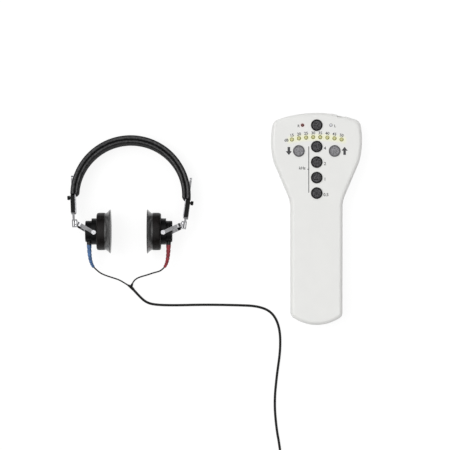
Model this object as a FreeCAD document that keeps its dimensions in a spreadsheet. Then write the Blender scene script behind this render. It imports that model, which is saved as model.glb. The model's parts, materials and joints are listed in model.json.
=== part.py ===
import FreeCAD, Part
import math
import os
import Sketcher

# Handheld screening audiometer: a control unit lying face up and its headset beside it.
# Millimetres. The origin is the middle of the unit's flat back, +Y points to the unit's head, +Z up.

Vector = FreeCAD.Vector
doc = FreeCAD.newDocument("audiometer")
sheet = doc.addObject("Spreadsheet::Sheet", "sizes")

UNIT_SIZES = {
    # outline of the case, seen from the front, and its depth
    "head_corner_half": 50.4, "head_corner_y": 114.3, "head_top_radius": 136.5,
    "hip_half": 49.8, "hip_y": 66.4, "side_radius": 96.8,
    "neck_half": 30.4, "neck_y": 20.9,
    "heel_half": 30.2, "heel_y": -113.3, "heel_radius": 48.2,
    "top_corner_round": 9.2, "hip_round": 30.0, "neck_round": 34.0, "heel_round": 7.0,
    "unit_depth": 34.0, "parting_height": 17.0, "wall": 2.4,
    "front_edge_round": 4.5, "back_edge_round": 6.0, "fit_gap": 0.2,
    # buttons and the switches under them
    "cap_radius": 6.6, "cap_rise": 1.9, "cap_edge": 0.9, "flange_radius": 7.8, "flange_thickness": 1.2,
    "stem_radius": 2.0, "stem_reach": 1.6, "switch_side": 8.0, "switch_height": 3.6,
    "key_pitch": 18.1, "key_top_y": 84.4, "ear_key_y": 109.4, "level_key_x": 20.9, "level_key_y": 79.3,
    # indicator lights
    "level_led_radius": 2.2, "level_led_pitch": 8.28, "level_arc_radius": 156.0, "level_arc_y": 95.4,
    "ear_led_radius": 1.8, "ear_led_x": 16.6, "led_rise": 0.9, "led_rim": 0.5,
    "led_bevel": 0.8,
    # board, posts and screws
    "board_height": 22.0, "board_thickness": 1.6, "board_half": 34.0, "board_top_y": 116.0,
    "board_waist_y": 60.0, "board_foot_half": 25.0, "board_foot_top_y": 34.0, "board_foot_y": -40.0,
    "board_post_radius": 2.6, "board_screw_x": 30.5, "board_screw_y": 84.5,
    "board_low_screw_x": 21.5, "board_low_screw_y": 10.0,
    "case_post_radius": 3.6, "case_screw_x": 40.0, "case_screw_y": 99.0,
    "case_low_screw_x": 22.3, "case_low_screw_y": -32.0, "counterbore_depth": 8.0,
    "screw_head_radius": 2.5, "screw_head_height": 1.8, "screw_shank_radius": 1.25, "thread_reach": 7.0,
    # headset socket in the top edge
    "jack_x": 28.7, "jack_bore_radius": 1.8, "jack_nose_radius": 3.2, "jack_width": 8.0, "jack_length": 11.0,
    "jack_notch_half": 4.7, "jack_notch_depth": 2.3, "jack_wall": 2.2, "jack_bottom": 13.0,
    # battery bay and its cover
    "cell_radius": 7.25, "cell_length": 49.2, "cell_nub_radius": 2.7, "cell_nub_length": 1.3,
    "bay_half": 15.4, "bay_top_y": -46.0, "bay_length": 58.0, "bay_wall": 1.5, "bay_roof": 17.8,
    "contact_thickness": 0.4, "contact_half": 5.0, "contact_toe": 2.0, "cell_lift": 0.35, "bay_ledge": 1.6,
    "cover_half": 22.0, "cover_lip": 1.5, "cover_top_y": -43.0, "grip_groove_depth": 0.7,
    "grip_groove_top": 9.0, "grip_groove_pitch": 2.6, "grip_groove_width": 1.2,
}
HEADSET_SIZES = {
    "headset_x": -219.5, "headset_y": -14.7, "ear_gap_half": 21.2, "band_turn": 2.5,
    # headband: an outer roll, a steel strip and an inner pad on one centre
    "band_center_y": 42.2, "cover_outer": 70.5, "strip_outer": 65.2, "strip_inner": 64.2, "pad_inner": 60.3,
    "band_width": 26.0, "strip_width": 16.0, "band_overrun": 2.6, "slide_lean": 5.0, "strip_tab": 17.4,
    "cover_round": 2.2, "pad_round": 1.8,
    # slide, clamp and bracket, measured along and across the bar
    "bar_offset": 67.5, "bar_thickness": 2.6, "bar_width": 8.0, "bar_tip": 28.7, "bar_foot": -23.8,
    "block_outer": 70.2, "block_top": 2.3, "block_foot": -18.0, "block_width": 20.0, "block_edge": 0.6,
    "slide_gap": 0.15, "knob_y": 0.5, "knob_radius": 2.5, "knob_length": 3.2, "knob_stem_radius": 1.2,
    "knob_gap": 0.5, "knob_flute": 0.8, "channel_foot": -9.0, "channel_run": 16.0,
    "bracket_inset": 4.0, "bracket_outset": 2.1, "bracket_height": 8.9, "bracket_wall": 1.3,
    "swivel_inset": 2.4, "swivel_pin_radius": 1.1, "barrel_radius": 2.2, "swivel_gap": 0.1,
    # fork
    "yoke_thickness": 1.3, "yoke_width": 4.2, "yoke_arm_z": 17.3, "yoke_bend": 6.0, "yoke_crossbar": 1.5,
    "pivot_out": 19.2, "pivot_y": -3.2, "pivot_hole_radius": 1.33, "yoke_ear": 2.3,
    # earphone, by distance out from the ear face
    "rim_radius": 25.85, "rim_thickness": 1.2, "cushion_radius": 21.9, "cone_depth": 5.9,
    "cushion_depth": 16.4, "cushion_hole": 8.0, "dish_depth": 5.2, "cushion_edge": 1.6, "cushion_clear": 0.15,
    "grille_out": 8.2, "grille_thickness": 1.0, "sound_hole": 1.2, "flange_out": 9.2,
    "case_flange_radius": 19.6, "case_flange_thickness": 2.6, "case_radius": 15.4, "case_end": 22.2,
    "case_wall": 1.8,
    "cap_shell_radius": 12.5, "cap_end": 29.6, "cap_wall": 1.6, "cap_round": 1.0,
    "driver_radius": 13.0, "driver_thickness": 2.2, "magnet_radius": 8.0, "magnet_depth": 4.0,
    "boss_radius": 2.6, "boss_face_z": 16.5, "pivot_screw_head": 2.6, "pivot_screw_head_height": 1.3,
    "pivot_screw_bite": 2.5, "pivot_slot_half": 0.4, "driver_gap": 1.6,
    "relief_out": 25.2, "relief_root_radius": 2.5, "relief_tip_radius": 1.9, "relief_start_y": -10.4,
    "relief_leave": 17.0, "relief_arrive": 8.0, "relief_gap": 0.15,
}
CORD_SIZES = {
    "leg_radius": 0.85, "cord_radius": 1.45, "splitter_radius": 2.1, "splitter_wall": 0.3, "arm_root": 1.7,
    "coil_x": -63.0, "coil_y": -305.0, "coil_radius": 17.5, "coil_section": 12.0, "coil_height": 9.0,
    "coil_base": 0.9, "tie_width": 9.0, "tie_thickness": 0.8, "tie_angle": -130.0,
    "plug_radius": 3.6, "plug_length": 24.0, "pin_radius": 1.75, "pin_length": 14.0, "plug_collar_y": 15.0,
}


class Size:
    """A number together with the sheet formula that gives it."""

    def __init__(self, value, formula):
        self.value = float(value)
        self.formula = formula

    def _join(self, other, sign, value, swap=False):
        first, second = (size(other), self) if swap else (self, size(other))
        return Size(value(first.value, second.value), f"({first.formula} {sign} {second.formula})")

    def __add__(self, other):
        return self._join(other, "+", lambda a, b: a + b)

    def __radd__(self, other):
        return self._join(other, "+", lambda a, b: a + b, True)

    def __sub__(self, other):
        return self._join(other, "-", lambda a, b: a - b)

    def __rsub__(self, other):
        return self._join(other, "-", lambda a, b: a - b, True)

    def __mul__(self, other):
        return self._join(other, "*", lambda a, b: a * b)

    def __rmul__(self, other):
        return self._join(other, "*", lambda a, b: a * b, True)

    def __truediv__(self, other):
        return self._join(other, "/", lambda a, b: a / b)

    def __neg__(self):
        return Size(-self.value, f"(-{self.formula})")


def size(value):
    return value if isinstance(value, Size) else Size(value, repr(float(value)))


def sine(angle):
    return Size(math.sin(math.radians(angle.value)), f"sin({angle.formula})")


def cosine(angle):
    return Size(math.cos(math.radians(angle.value)), f"cos({angle.formula})")


def root(value):
    return Size(math.sqrt(value.value), f"sqrt({value.formula})")


class Sheet:
    """The driving sizes by name, each as a Size that points at its cell."""

    def __init__(self, groups):
        row = 0
        for group in groups:
            for alias, value in group.items():
                row += 1
                sheet.set(f"A{row}", alias)
                sheet.set(f"B{row}", str(value))
                sheet.setAlias(f"B{row}", alias)
                setattr(self, alias, Size(value, f"sizes.{alias}"))


S = Sheet((UNIT_SIZES, HEADSET_SIZES, CORD_SIZES))
doc.recompute()


# ---- how features are made and bound -------------------------------------------------------------

def bind(item, name, value):
    item.setExpression(name, size(value).formula)


def new_body(label):
    body = doc.addObject("PartDesign::Body", label)
    body.Label = label
    return body


def new_sketch(body, role, height=None):
    sketch = body.newObject("Sketcher::SketchObject", f"{body.Label}_profile")
    plane = [feature for feature in body.Origin.OriginFeatures if feature.Role == role][0]
    sketch.AttachmentSupport = [(plane, "")]
    sketch.MapMode = "FlatFace"
    if height is not None:
        bind(sketch, "AttachmentOffset.Base.z", height)
    return sketch


def pin_point(sketch, geometry, end, x, y):
    """Hold one point of a sketch at sizes x and y from the sketch's origin."""
    for kind, value in (("DistanceX", size(x)), ("DistanceY", size(y))):
        if value.value < 0:
            link = Sketcher.Constraint(kind, geometry, end, -1, 1, -value.value)
            value = -value
        else:
            link = Sketcher.Constraint(kind, -1, 1, geometry, end, value.value)
        bind(sketch, f"Constraints[{sketch.addConstraint(link)}]", value)


def arc_between(start, end, radius, bulge_left):
    chord = end - start
    rise = math.sqrt(max(radius * radius - chord.Length ** 2 / 4, 0.0))
    left = Vector(-chord.y, chord.x, 0).normalize()
    center = (start + end) / 2 + left * (-rise if bulge_left else rise)
    angles = [math.atan2(point.y - center.y, point.x - center.x) for point in (start, end)]
    if bulge_left:
        angles.reverse()
    return Part.ArcOfCircle(Part.Circle(center, Vector(0, 0, 1), radius), angles[0], angles[1])


def draw_closed(sketch, corners, arcs=None):
    """A closed outline. A side named in arcs, by the corner it leaves, has that radius. It bulges to
    the right of the way it is drawn, or to the left where the radius is given with 'left'."""
    arcs = arcs or {}
    points = [Vector(size(x).value, size(y).value, 0) for x, y in corners]
    first = sketch.GeometryCount
    starts, ends, radii = [], [], {}
    for index, point in enumerate(points):
        following = points[(index + 1) % len(points)]
        start, end = 1, 2
        if index in arcs:
            radius, side = arcs[index] if isinstance(arcs[index], tuple) else (arcs[index], "right")
            sketch.addGeometry(arc_between(point, following, radius.value, side == "left"), False)
            radii[index] = radius
            if side == "left":
                start, end = 2, 1
        else:
            sketch.addGeometry(Part.LineSegment(point, following), False)
        starts.append(start)
        ends.append(end)
    for index in range(len(points)):
        following = (index + 1) % len(points)
        sketch.addConstraint(Sketcher.Constraint(
            "Coincident", first + index, ends[index], first + following, starts[following]))
    for index, (x, y) in enumerate(corners):
        pin_point(sketch, first + index, starts[index], x, y)
    for index, radius in radii.items():
        place = sketch.addConstraint(Sketcher.Constraint("Radius", first + index, radius.value))
        bind(sketch, f"Constraints[{place}]", radius)


def draw_circle(sketch, x, y, radius):
    x, y, radius = size(x), size(y), size(radius)
    index = sketch.GeometryCount
    sketch.addGeometry(Part.Circle(Vector(x.value, y.value, 0), Vector(0, 0, 1), radius.value), False)
    pin_point(sketch, index, 3, x, y)
    place = sketch.addConstraint(Sketcher.Constraint("Radius", index, radius.value))
    bind(sketch, f"Constraints[{place}]", radius)


def draw_box(sketch, left, bottom, right, top):
    draw_closed(sketch, [(left, bottom), (right, bottom), (right, top), (left, top)])


def extrude(body, sketch, length, kind="Pad", back=False, both=False):
    feature = body.newObject(f"PartDesign::{kind}", f"{body.Label}_{kind.lower()}")
    feature.Profile = sketch
    feature.SideType = "Symmetric" if both else "One side"
    feature.Reversed = back
    bind(feature, "Length", length)
    doc.recompute()
    body.Tip = feature
    return feature


def cut(body, sketch, length, back=False, both=False):
    before = body.Shape.Volume
    feature = extrude(body, sketch, length, "Pocket", back, both)
    if feature.Shape.Volume > before - 1e-6:
        raise RuntimeError(f"a pocket of {body.Label} cuts nothing")
    return feature


def revolve(body, sketch, axis):
    feature = body.newObject("PartDesign::Revolution", f"{body.Label}_turned")
    feature.Profile = sketch
    feature.ReferenceAxis = (sketch, [axis])
    feature.Angle = 360.0
    doc.recompute()
    body.Tip = feature
    return feature


def dress_edges(body, kind, measure, value, chosen):
    base = body.Tip
    names = [f"Edge{i}" for i, edge in enumerate(base.Shape.Edges, 1) if chosen(edge)]
    if not names:
        raise RuntimeError(f"{body.Label} has no such edge")
    feature = body.newObject(f"PartDesign::{kind}", f"{body.Label}_{kind.lower()}")
    feature.Base = (base, names)
    bind(feature, measure, value)
    doc.recompute()
    body.Tip = feature
    return feature


def round_edges(body, radius, chosen):
    return dress_edges(body, "Fillet", "Radius", radius, chosen)


def bevel_edges(body, width, chosen):
    return dress_edges(body, "Chamfer", "Size", width, chosen)


def upright_at(x, y):
    """Chooses edges parallel to Z at |x| and y."""
    def chosen(edge):
        start, end = edge.Vertexes[0].Point, edge.Vertexes[-1].Point
        still = abs(start.x - end.x) + abs(start.y - end.y) < 1e-4 and abs(start.z - end.z) > 0.1
        return still and abs(abs(start.x) - x.value) < 0.05 and abs(start.y - y.value) < 0.05
    return chosen


def edges_in_plane(axis, value):
    """Chooses edges that lie in one plane across an axis."""
    def chosen(edge):
        middle = edge.valueAt((edge.FirstParameter + edge.LastParameter) / 2)
        points = [vertex.Point for vertex in edge.Vertexes] + [middle]
        return all(abs(getattr(point, axis) - value.value) < 1e-4 for point in points)
    return chosen


def edges_along(axis):
    """Chooses straight edges that run along an axis."""
    def chosen(edge):
        start, end = edge.Vertexes[0].Point, edge.Vertexes[-1].Point
        run = end - start
        return run.Length > 0.1 and abs(abs(getattr(run, axis)) - run.Length) < 1e-5
    return chosen


def place(item, x, y, z, rotation=None):
    item.Placement = FreeCAD.Placement(Vector(size(x).value, size(y).value, size(z).value),
                                       rotation or FreeCAD.Rotation())
    for name, value in (("x", x), ("y", y), ("z", z)):
        bind(item, f"Placement.Base.{name}", value)


# ---- control unit --------------------------------------------------------------------------------

parting = S.parting_height
face = S.unit_depth
roof = S.unit_depth - S.wall
board_top = S.board_height + S.board_thickness


def draw_case_outline(sketch):
    """The case seen from the front: arched head, bulging sides, a straight taper and a handle."""
    draw_closed(sketch, [
        (-S.heel_half, S.heel_y), (S.heel_half, S.heel_y), (S.neck_half, S.neck_y), (S.hip_half, S.hip_y),
        (S.head_corner_half, S.head_corner_y), (-S.head_corner_half, S.head_corner_y),
        (-S.hip_half, S.hip_y), (-S.neck_half, S.neck_y),
    ], {0: S.heel_radius, 3: S.side_radius, 4: S.head_top_radius, 5: S.side_radius})


def make_case_form(body, depth, back, edge_height, edge_round):
    """The solid outer form of one half, from the parting plane outward."""
    outline = new_sketch(body, "XY_Plane", parting)
    draw_case_outline(outline)
    extrude(body, outline, depth, back=back)
    round_edges(body, S.neck_round, upright_at(S.neck_half, S.neck_y))
    round_edges(body, S.hip_round, upright_at(S.hip_half, S.hip_y))
    round_edges(body, S.top_corner_round, upright_at(S.head_corner_half, S.head_corner_y))
    round_edges(body, S.heel_round, upright_at(S.heel_half, S.heel_y))
    round_edges(body, edge_round, edges_in_plane("z", edge_height))


def hollow(body, height):
    base = body.Tip
    names = [f"Face{i}" for i, side in enumerate(base.Shape.Faces, 1)
             if abs(side.CenterOfMass.z - height.value) < 1e-4]
    feature = body.newObject("PartDesign::Thickness", f"{body.Label}_shell")
    feature.Base = (base, names)
    feature.Reversed = True
    feature.Mode = 0
    feature.Join = 0
    bind(feature, "Value", S.wall)
    doc.recompute()
    body.Tip = feature


key_places = {
    "button_ear": (size(0), S.ear_key_y),
    "button_4khz": (size(0), S.key_top_y),
    "button_2khz": (size(0), S.key_top_y - S.key_pitch),
    "button_1khz": (size(0), S.key_top_y - 2 * S.key_pitch),
    "button_500hz": (size(0), S.key_top_y - 3 * S.key_pitch),
    "button_level_down": (-S.level_key_x, S.level_key_y),
    "button_level_up": (S.level_key_x, S.level_key_y),
}


def level_led_places():
    """Eight lights on a shallow arc over the buttons."""
    places = []
    for step in range(8):
        x = S.level_led_pitch * (step - 3.5)
        drop = S.level_arc_radius - root(S.level_arc_radius * S.level_arc_radius - x * x)
        places.append((x, S.level_arc_y - drop))
    return places


level_places = level_led_places()
ear_places = {"ear_led_red": (-S.ear_led_x, S.ear_key_y), "ear_led_blue": (S.ear_led_x, S.ear_key_y)}
case_screws = [(side * x, y) for side in (-1, 1)
               for x, y in ((S.case_screw_x, S.case_screw_y), (S.case_low_screw_x, S.case_low_screw_y))]
board_screws = [(side * x, y) for side in (-1, 1)
                for x, y in ((S.board_screw_x, S.board_screw_y), (S.board_low_screw_x, S.board_low_screw_y))]


def draw_jack_seat(sketch):
    """The thicker wall behind the notch, its outer side inside the top wall."""
    half = S.jack_notch_half + S.jack_wall
    left, right = S.jack_x - half, S.jack_x + half
    inner = S.head_top_radius - S.wall / 2
    chord = S.head_corner_half
    center_y = S.head_corner_y - root(S.head_top_radius * S.head_top_radius - chord * chord)
    low = notch_floor() - S.jack_wall
    draw_closed(sketch, [
        (left, low), (right, low),
        (right, center_y + root(inner * inner - right * right)),
        (left, center_y + root(inner * inner - left * left)),
    ], {2: inner})


def notch_floor():
    chord = S.head_corner_half
    center_y = S.head_corner_y - root(S.head_top_radius * S.head_top_radius - chord * chord)
    edge = center_y + root(S.head_top_radius * S.head_top_radius - S.jack_x * S.jack_x)
    return edge - S.jack_notch_depth


def cut_jack_notch(body, low, high):
    """The recess round the socket, open towards the top edge."""
    notch = new_sketch(body, "XY_Plane", low)
    draw_box(notch, S.jack_x - S.jack_notch_half, notch_floor(), S.jack_x + S.jack_notch_half,
             S.head_corner_y + S.head_top_radius / 8)
    cut(body, notch, high - low, back=True)
    bore = new_sketch(body, "XZ_Plane", -S.head_corner_y - S.head_top_radius / 8)
    draw_circle(bore, S.jack_x, parting, S.jack_nose_radius + S.fit_gap / 2)
    cut(body, bore, S.head_top_radius / 4, back=True)


def make_front_housing():
    body = new_body("front_housing")
    make_case_form(body, face - parting, False, face, S.front_edge_round)
    hollow(body, parting)
    overlap = S.wall / 2
    seat = new_sketch(body, "XY_Plane", parting)
    draw_jack_seat(seat)
    extrude(body, seat, roof - parting + overlap)
    posts = new_sketch(body, "XY_Plane", parting)
    for x, y in case_screws:
        draw_circle(posts, x, y, S.case_post_radius)
    extrude(body, posts, roof - parting + overlap)
    stands = new_sketch(body, "XY_Plane", board_top)
    for x, y in board_screws:
        draw_circle(stands, x, y, S.board_post_radius)
    extrude(body, stands, roof - board_top + overlap)
    holes = new_sketch(body, "XY_Plane", face)
    for x, y in key_places.values():
        draw_circle(holes, x, y, S.cap_radius + S.fit_gap)
    for x, y in level_places:
        draw_circle(holes, x, y, S.level_led_radius + S.fit_gap)
    for x, y in ear_places.values():
        draw_circle(holes, x, y, S.ear_led_radius + S.fit_gap)
    cut(body, holes, 2 * S.wall)
    cut_jack_notch(body, parting, face)
    threads = new_sketch(body, "XY_Plane", parting)
    for x, y in case_screws:
        draw_circle(threads, x, y, S.screw_shank_radius)
    cut(body, threads, S.thread_reach + 1, back=True)
    board_threads = new_sketch(body, "XY_Plane", board_top)
    for x, y in board_screws:
        draw_circle(board_threads, x, y, S.screw_shank_radius)
    cut(body, board_threads, S.thread_reach - 1, back=True)
    return body


bay_outer = S.bay_half + S.bay_wall
bay_foot_y = S.bay_top_y - S.bay_length
slot_depth = S.wall + S.fit_gap
lip_height = S.wall / 2


def make_rear_housing():
    body = new_body("rear_housing")
    make_case_form(body, parting, True, size(0), S.back_edge_round)
    hollow(body, parting)
    seat = new_sketch(body, "XY_Plane", S.jack_bottom - S.jack_wall)
    draw_jack_seat(seat)
    extrude(body, seat, parting - S.jack_bottom + S.jack_wall)
    posts = new_sketch(body, "XY_Plane", S.wall / 2)
    for x, y in case_screws:
        draw_circle(posts, x, y, S.case_post_radius + 0.5)
    extrude(body, posts, parting - S.wall / 2)
    ledge = new_sketch(body, "XY_Plane", S.wall / 2)
    ledge_half = S.neck_half - S.wall / 2
    heel_half = S.heel_half * 0.6
    ledge_top = S.cover_top_y + S.wall
    draw_closed(ledge, [
        (-heel_half, S.heel_y - S.wall * 2), (heel_half, S.heel_y - S.wall * 2), (heel_half, S.heel_y),
        (ledge_half, S.heel_y), (ledge_half, ledge_top), (-ledge_half, ledge_top), (-ledge_half, S.heel_y),
        (-heel_half, S.heel_y),
    ])
    extrude(body, ledge, slot_depth + S.bay_ledge - S.wall / 2)
    bay = new_sketch(body, "XY_Plane", S.wall / 2)
    draw_box(bay, -bay_outer, bay_foot_y - S.bay_wall, bay_outer, S.bay_top_y + S.bay_wall)
    extrude(body, bay, S.bay_roof + S.bay_wall - S.wall / 2)
    room = new_sketch(body, "XY_Plane", size(0))
    draw_box(room, -S.bay_half, bay_foot_y, S.bay_half, S.bay_top_y)
    cut(body, room, S.bay_roof, back=True)
    end = S.heel_y - S.heel_radius / 2
    slot = new_sketch(body, "XY_Plane", lip_height - S.fit_gap / 2)
    draw_box(slot, -S.cover_half - S.fit_gap, end, S.cover_half + S.fit_gap, S.cover_top_y + S.fit_gap)
    cut(body, slot, slot_depth - lip_height + S.fit_gap / 2, back=True)
    mouth = new_sketch(body, "XY_Plane", size(0))
    mouth_half = S.cover_half - S.cover_lip + S.fit_gap
    draw_box(mouth, -mouth_half, end, mouth_half, S.cover_top_y + S.fit_gap)
    cut(body, mouth, lip_height, back=True)
    counterbores = new_sketch(body, "XY_Plane", size(0))
    for x, y in case_screws:
        draw_circle(counterbores, x, y, S.screw_head_radius + S.fit_gap)
    cut(body, counterbores, S.counterbore_depth, back=True)
    shanks = new_sketch(body, "XY_Plane", size(0))
    for x, y in case_screws:
        draw_circle(shanks, x, y, S.screw_shank_radius + S.fit_gap)
    cut(body, shanks, parting + 1, back=True)
    tabs = new_sketch(body, "XY_Plane", S.bay_roof - 0.5)
    for side in (-1, 1):
        draw_box(tabs, side * S.bay_half / 2 - 2, S.bay_top_y - 1, side * S.bay_half / 2 + 2, S.bay_top_y)
    cut(body, tabs, S.bay_wall + 1, back=True)
    cut_jack_notch(body, S.jack_bottom - S.jack_wall + 1, parting)
    return body


def make_battery_cover():
    """A door cut from the same outer form, with a tongue along each side under the case's lips."""
    form = new_body("cover_form")
    make_case_form(form, parting, True, size(0), S.back_edge_round)
    end = S.heel_y - S.heel_radius / 2
    plate = new_body("cover_plate")
    upper = new_sketch(plate, "XY_Plane", lip_height)
    draw_box(upper, -S.cover_half, end, S.cover_half, S.cover_top_y)
    extrude(plate, upper, S.wall - lip_height)
    lower = new_sketch(plate, "XY_Plane", size(0))
    lower_half = S.cover_half - S.cover_lip
    draw_box(lower, -lower_half, end, lower_half, S.cover_top_y)
    extrude(plate, lower, lip_height)
    grooves = new_sketch(plate, "XY_Plane", size(0))
    for step in range(5):
        low = S.cover_top_y - S.grip_groove_top - S.grip_groove_pitch * step
        draw_box(grooves, -S.cover_half / 2, low, S.cover_half / 2, low + S.grip_groove_width)
    cut(plate, grooves, S.grip_groove_depth, back=True)
    cover = doc.addObject("Part::Common", "battery_cover")
    cover.Base = form
    cover.Tool = plate
    doc.recompute()
    return cover


def make_button(label, x, y):
    """Cap, flange behind the face and the stem that reaches into its switch."""
    body = new_body(label)
    profile = new_sketch(body, "XZ_Plane")
    flange_top = roof - S.fit_gap
    flange_low = flange_top - S.flange_thickness
    stem_low = board_top + S.switch_height - S.stem_reach
    shoulder = face + S.cap_rise - S.cap_edge
    crown = face + S.cap_rise
    draw_closed(profile, [
        (0, stem_low), (S.stem_radius, stem_low), (S.stem_radius, flange_low),
        (S.flange_radius, flange_low), (S.flange_radius, flange_top), (S.cap_radius, flange_top),
        (S.cap_radius, shoulder), (S.cap_radius - S.cap_edge, crown), (0, crown),
    ], {6: S.cap_edge})
    revolve(body, profile, "V_Axis")
    place(body, x, y, size(0))
    return body


def make_switches():
    body = new_body("tact_switches")
    housings = new_sketch(body, "XY_Plane", board_top)
    for x, y in key_places.values():
        half = S.switch_side / 2
        draw_box(housings, x - half, y - half, x + half, y + half)
    extrude(body, housings, S.switch_height)
    bores = new_sketch(body, "XY_Plane", board_top + S.switch_height)
    for x, y in key_places.values():
        draw_circle(bores, x, y, S.stem_radius + S.fit_gap)
    cut(body, bores, S.switch_height - 0.5)
    return body


def make_lights(label, places, radius):
    body = new_body(label)
    barrels = new_sketch(body, "XY_Plane", board_top)
    for x, y in places:
        draw_circle(barrels, x, y, radius)
    extrude(body, barrels, face + S.led_rise - board_top)
    bevel_edges(body, S.led_bevel, edges_in_plane("z", face + S.led_rise))
    rims = new_sketch(body, "XY_Plane", board_top)
    for x, y in places:
        draw_circle(rims, x, y, radius + S.led_rim)
    extrude(body, rims, (roof - board_top) / 2)
    return body


def make_board():
    body = new_body("circuit_board")
    outline = new_sketch(body, "XY_Plane", S.board_height)
    draw_closed(outline, [
        (-S.board_foot_half, S.board_foot_y), (S.board_foot_half, S.board_foot_y),
        (S.board_foot_half, S.board_foot_top_y), (S.board_half, S.board_waist_y),
        (S.board_half, S.board_top_y), (-S.board_half, S.board_top_y),
        (-S.board_half, S.board_waist_y), (-S.board_foot_half, S.board_foot_top_y),
    ])
    extrude(body, outline, S.board_thickness)
    holes = new_sketch(body, "XY_Plane", board_top)
    for x, y in board_screws:
        draw_circle(holes, x, y, S.screw_shank_radius + S.fit_gap)
    for side in (-1, 1):
        draw_circle(holes, side * S.case_low_screw_x, S.case_low_screw_y, S.case_post_radius + 1)
    cut(body, holes, 2 * S.board_thickness)
    return body


def make_screws(label, places, head_low, reach):
    """Pan-head screws, heads down, as many separate solids as places."""
    body = new_body(label)
    heads = new_sketch(body, "XY_Plane", head_low)
    for x, y in places:
        draw_circle(heads, x, y, S.screw_head_radius)
    extrude(body, heads, S.screw_head_height)
    slots = new_sketch(body, "XY_Plane", head_low)
    slot_half = S.screw_head_radius / 6
    for x, y in places:
        draw_box(slots, x - slot_half, y - S.screw_head_radius, x + slot_half, y + S.screw_head_radius)
    cut(body, slots, S.screw_head_height / 2, back=True)
    shanks = new_sketch(body, "XY_Plane", head_low + S.screw_head_height)
    for x, y in places:
        draw_circle(shanks, x, y, S.screw_shank_radius)
    extrude(body, shanks, reach)
    return body


def make_jack():
    """Socket body hung from the board, its nose in the notch on the parting plane."""
    body = new_body("headset_jack")
    nose_end = notch_floor()
    back_y = nose_end - S.jack_wall - S.jack_length
    block = new_sketch(body, "XZ_Plane", -(nose_end - S.jack_wall))
    draw_box(block, S.jack_x - S.jack_width / 2, S.jack_bottom, S.jack_x + S.jack_width / 2, S.board_height)
    extrude(body, block, S.jack_length)
    nose = new_sketch(body, "XZ_Plane", -nose_end)
    draw_circle(nose, S.jack_x, parting, S.jack_nose_radius)
    extrude(body, nose, S.jack_wall + 1)
    bore = new_sketch(body, "XZ_Plane", -nose_end)
    draw_circle(bore, S.jack_x, parting, S.jack_bore_radius)
    cut(body, bore, nose_end - back_y - 1, back=True)
    return body


def make_batteries():
    body = new_body("batteries")
    center = S.bay_half / 2
    height = S.wall + S.fit_gap + S.cell_lift + S.cell_radius
    start = S.bay_top_y - (S.bay_length - S.cell_length - S.cell_nub_length) / 2
    for side in (-1, 1):
        top = start if side < 0 else start - S.cell_nub_length
        can = new_sketch(body, "XZ_Plane", -top)
        draw_circle(can, side * center, height, S.cell_radius)
        extrude(body, can, S.cell_length)
        nub_top = top - S.cell_length if side < 0 else start
        nub = new_sketch(body, "XZ_Plane", -nub_top)
        draw_circle(nub, side * center, height, S.cell_nub_radius)
        extrude(body, nub, S.cell_nub_length)
    return body


def make_contacts():
    """Leaf contacts: a flat plate on each wall and a sprung tongue that presses on the cell."""
    body = new_body("battery_contacts")
    center = S.bay_half / 2
    slack = (S.bay_length - S.cell_length - S.cell_nub_length) / 2
    low = S.wall + 2 * S.fit_gap
    high = S.bay_roof - S.fit_gap
    for wall_y, inward in ((S.bay_top_y, -1), (bay_foot_y, 1)):
        for side in (-1, 1):
            plate = new_sketch(body, "XZ_Plane", -wall_y if inward < 0 else -wall_y - S.contact_thickness)
            draw_box(plate, side * center - S.contact_half, low, side * center + S.contact_half, high)
            extrude(body, plate, S.contact_thickness)
            leaf = new_sketch(body, "YZ_Plane", side * center - S.contact_half / 2)
            root_y = wall_y + inward * S.contact_thickness
            tip_y = wall_y + inward * (slack - 0.1)
            thick = inward * S.contact_thickness
            middle = (low + high) / 2
            toe = middle - S.contact_toe
            draw_closed(leaf, [(root_y, high), (tip_y, middle), (tip_y, toe), (tip_y - thick, toe),
                               (tip_y - thick, middle), (root_y, high - 3 * S.contact_thickness)])
            extrude(body, leaf, S.contact_half)
    return body


make_front_housing()
make_rear_housing()
make_battery_cover()
for name, (key_x, key_y) in key_places.items():
    make_button(name, key_x, key_y)
make_switches()
make_lights("level_leds", level_places, S.level_led_radius)
for name, spot in ear_places.items():
    make_lights(name, [spot], S.ear_led_radius)
make_board()
make_screws("case_screws", case_screws, S.counterbore_depth - S.screw_head_height,
            parting - S.counterbore_depth + S.thread_reach)
make_screws("board_screws", board_screws, S.board_height - S.screw_head_height,
            S.board_thickness + S.thread_reach - 2)
make_jack()
make_batteries()
make_contacts()


# ---- headset: its own frame has x to the right, y to the crown and z up, origin between the ears ---

def rest_tilt():
    """The headset lies on its two cushion rims and on the outer edge of the band's crown."""
    reach = S.band_center_y + S.cover_outer - S.cover_round
    half = S.band_width / 2 - S.cover_round
    drop = S.rim_radius - S.cover_round
    value = math.degrees(math.asin(drop.value / math.hypot(reach.value, half.value))
                         - math.atan2(half.value, reach.value))
    return Size(value, f"(asin({drop.formula} / hypot({reach.formula}; {half.formula})) "
                       f"- atan({half.formula} / {reach.formula}))")


tilt = rest_tilt()


def headset_point(x, y, z):
    return (S.headset_x + x, S.headset_y + y * cosine(tilt) + z * sine(tilt),
            S.rim_radius - y * sine(tilt) + z * cosine(tilt))


def headset_rotation():
    return FreeCAD.Rotation(Vector(1, 0, 0), -tilt.value)


def place_in_headset(item, x, y, z, rotation=None):
    turned = headset_rotation()
    if rotation is not None:
        turned = turned * rotation
    place(item, *headset_point(size(x), size(y), size(z)), turned)


def about_z(angle):
    return FreeCAD.Rotation(Vector(0, 0, 1), angle)


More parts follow.
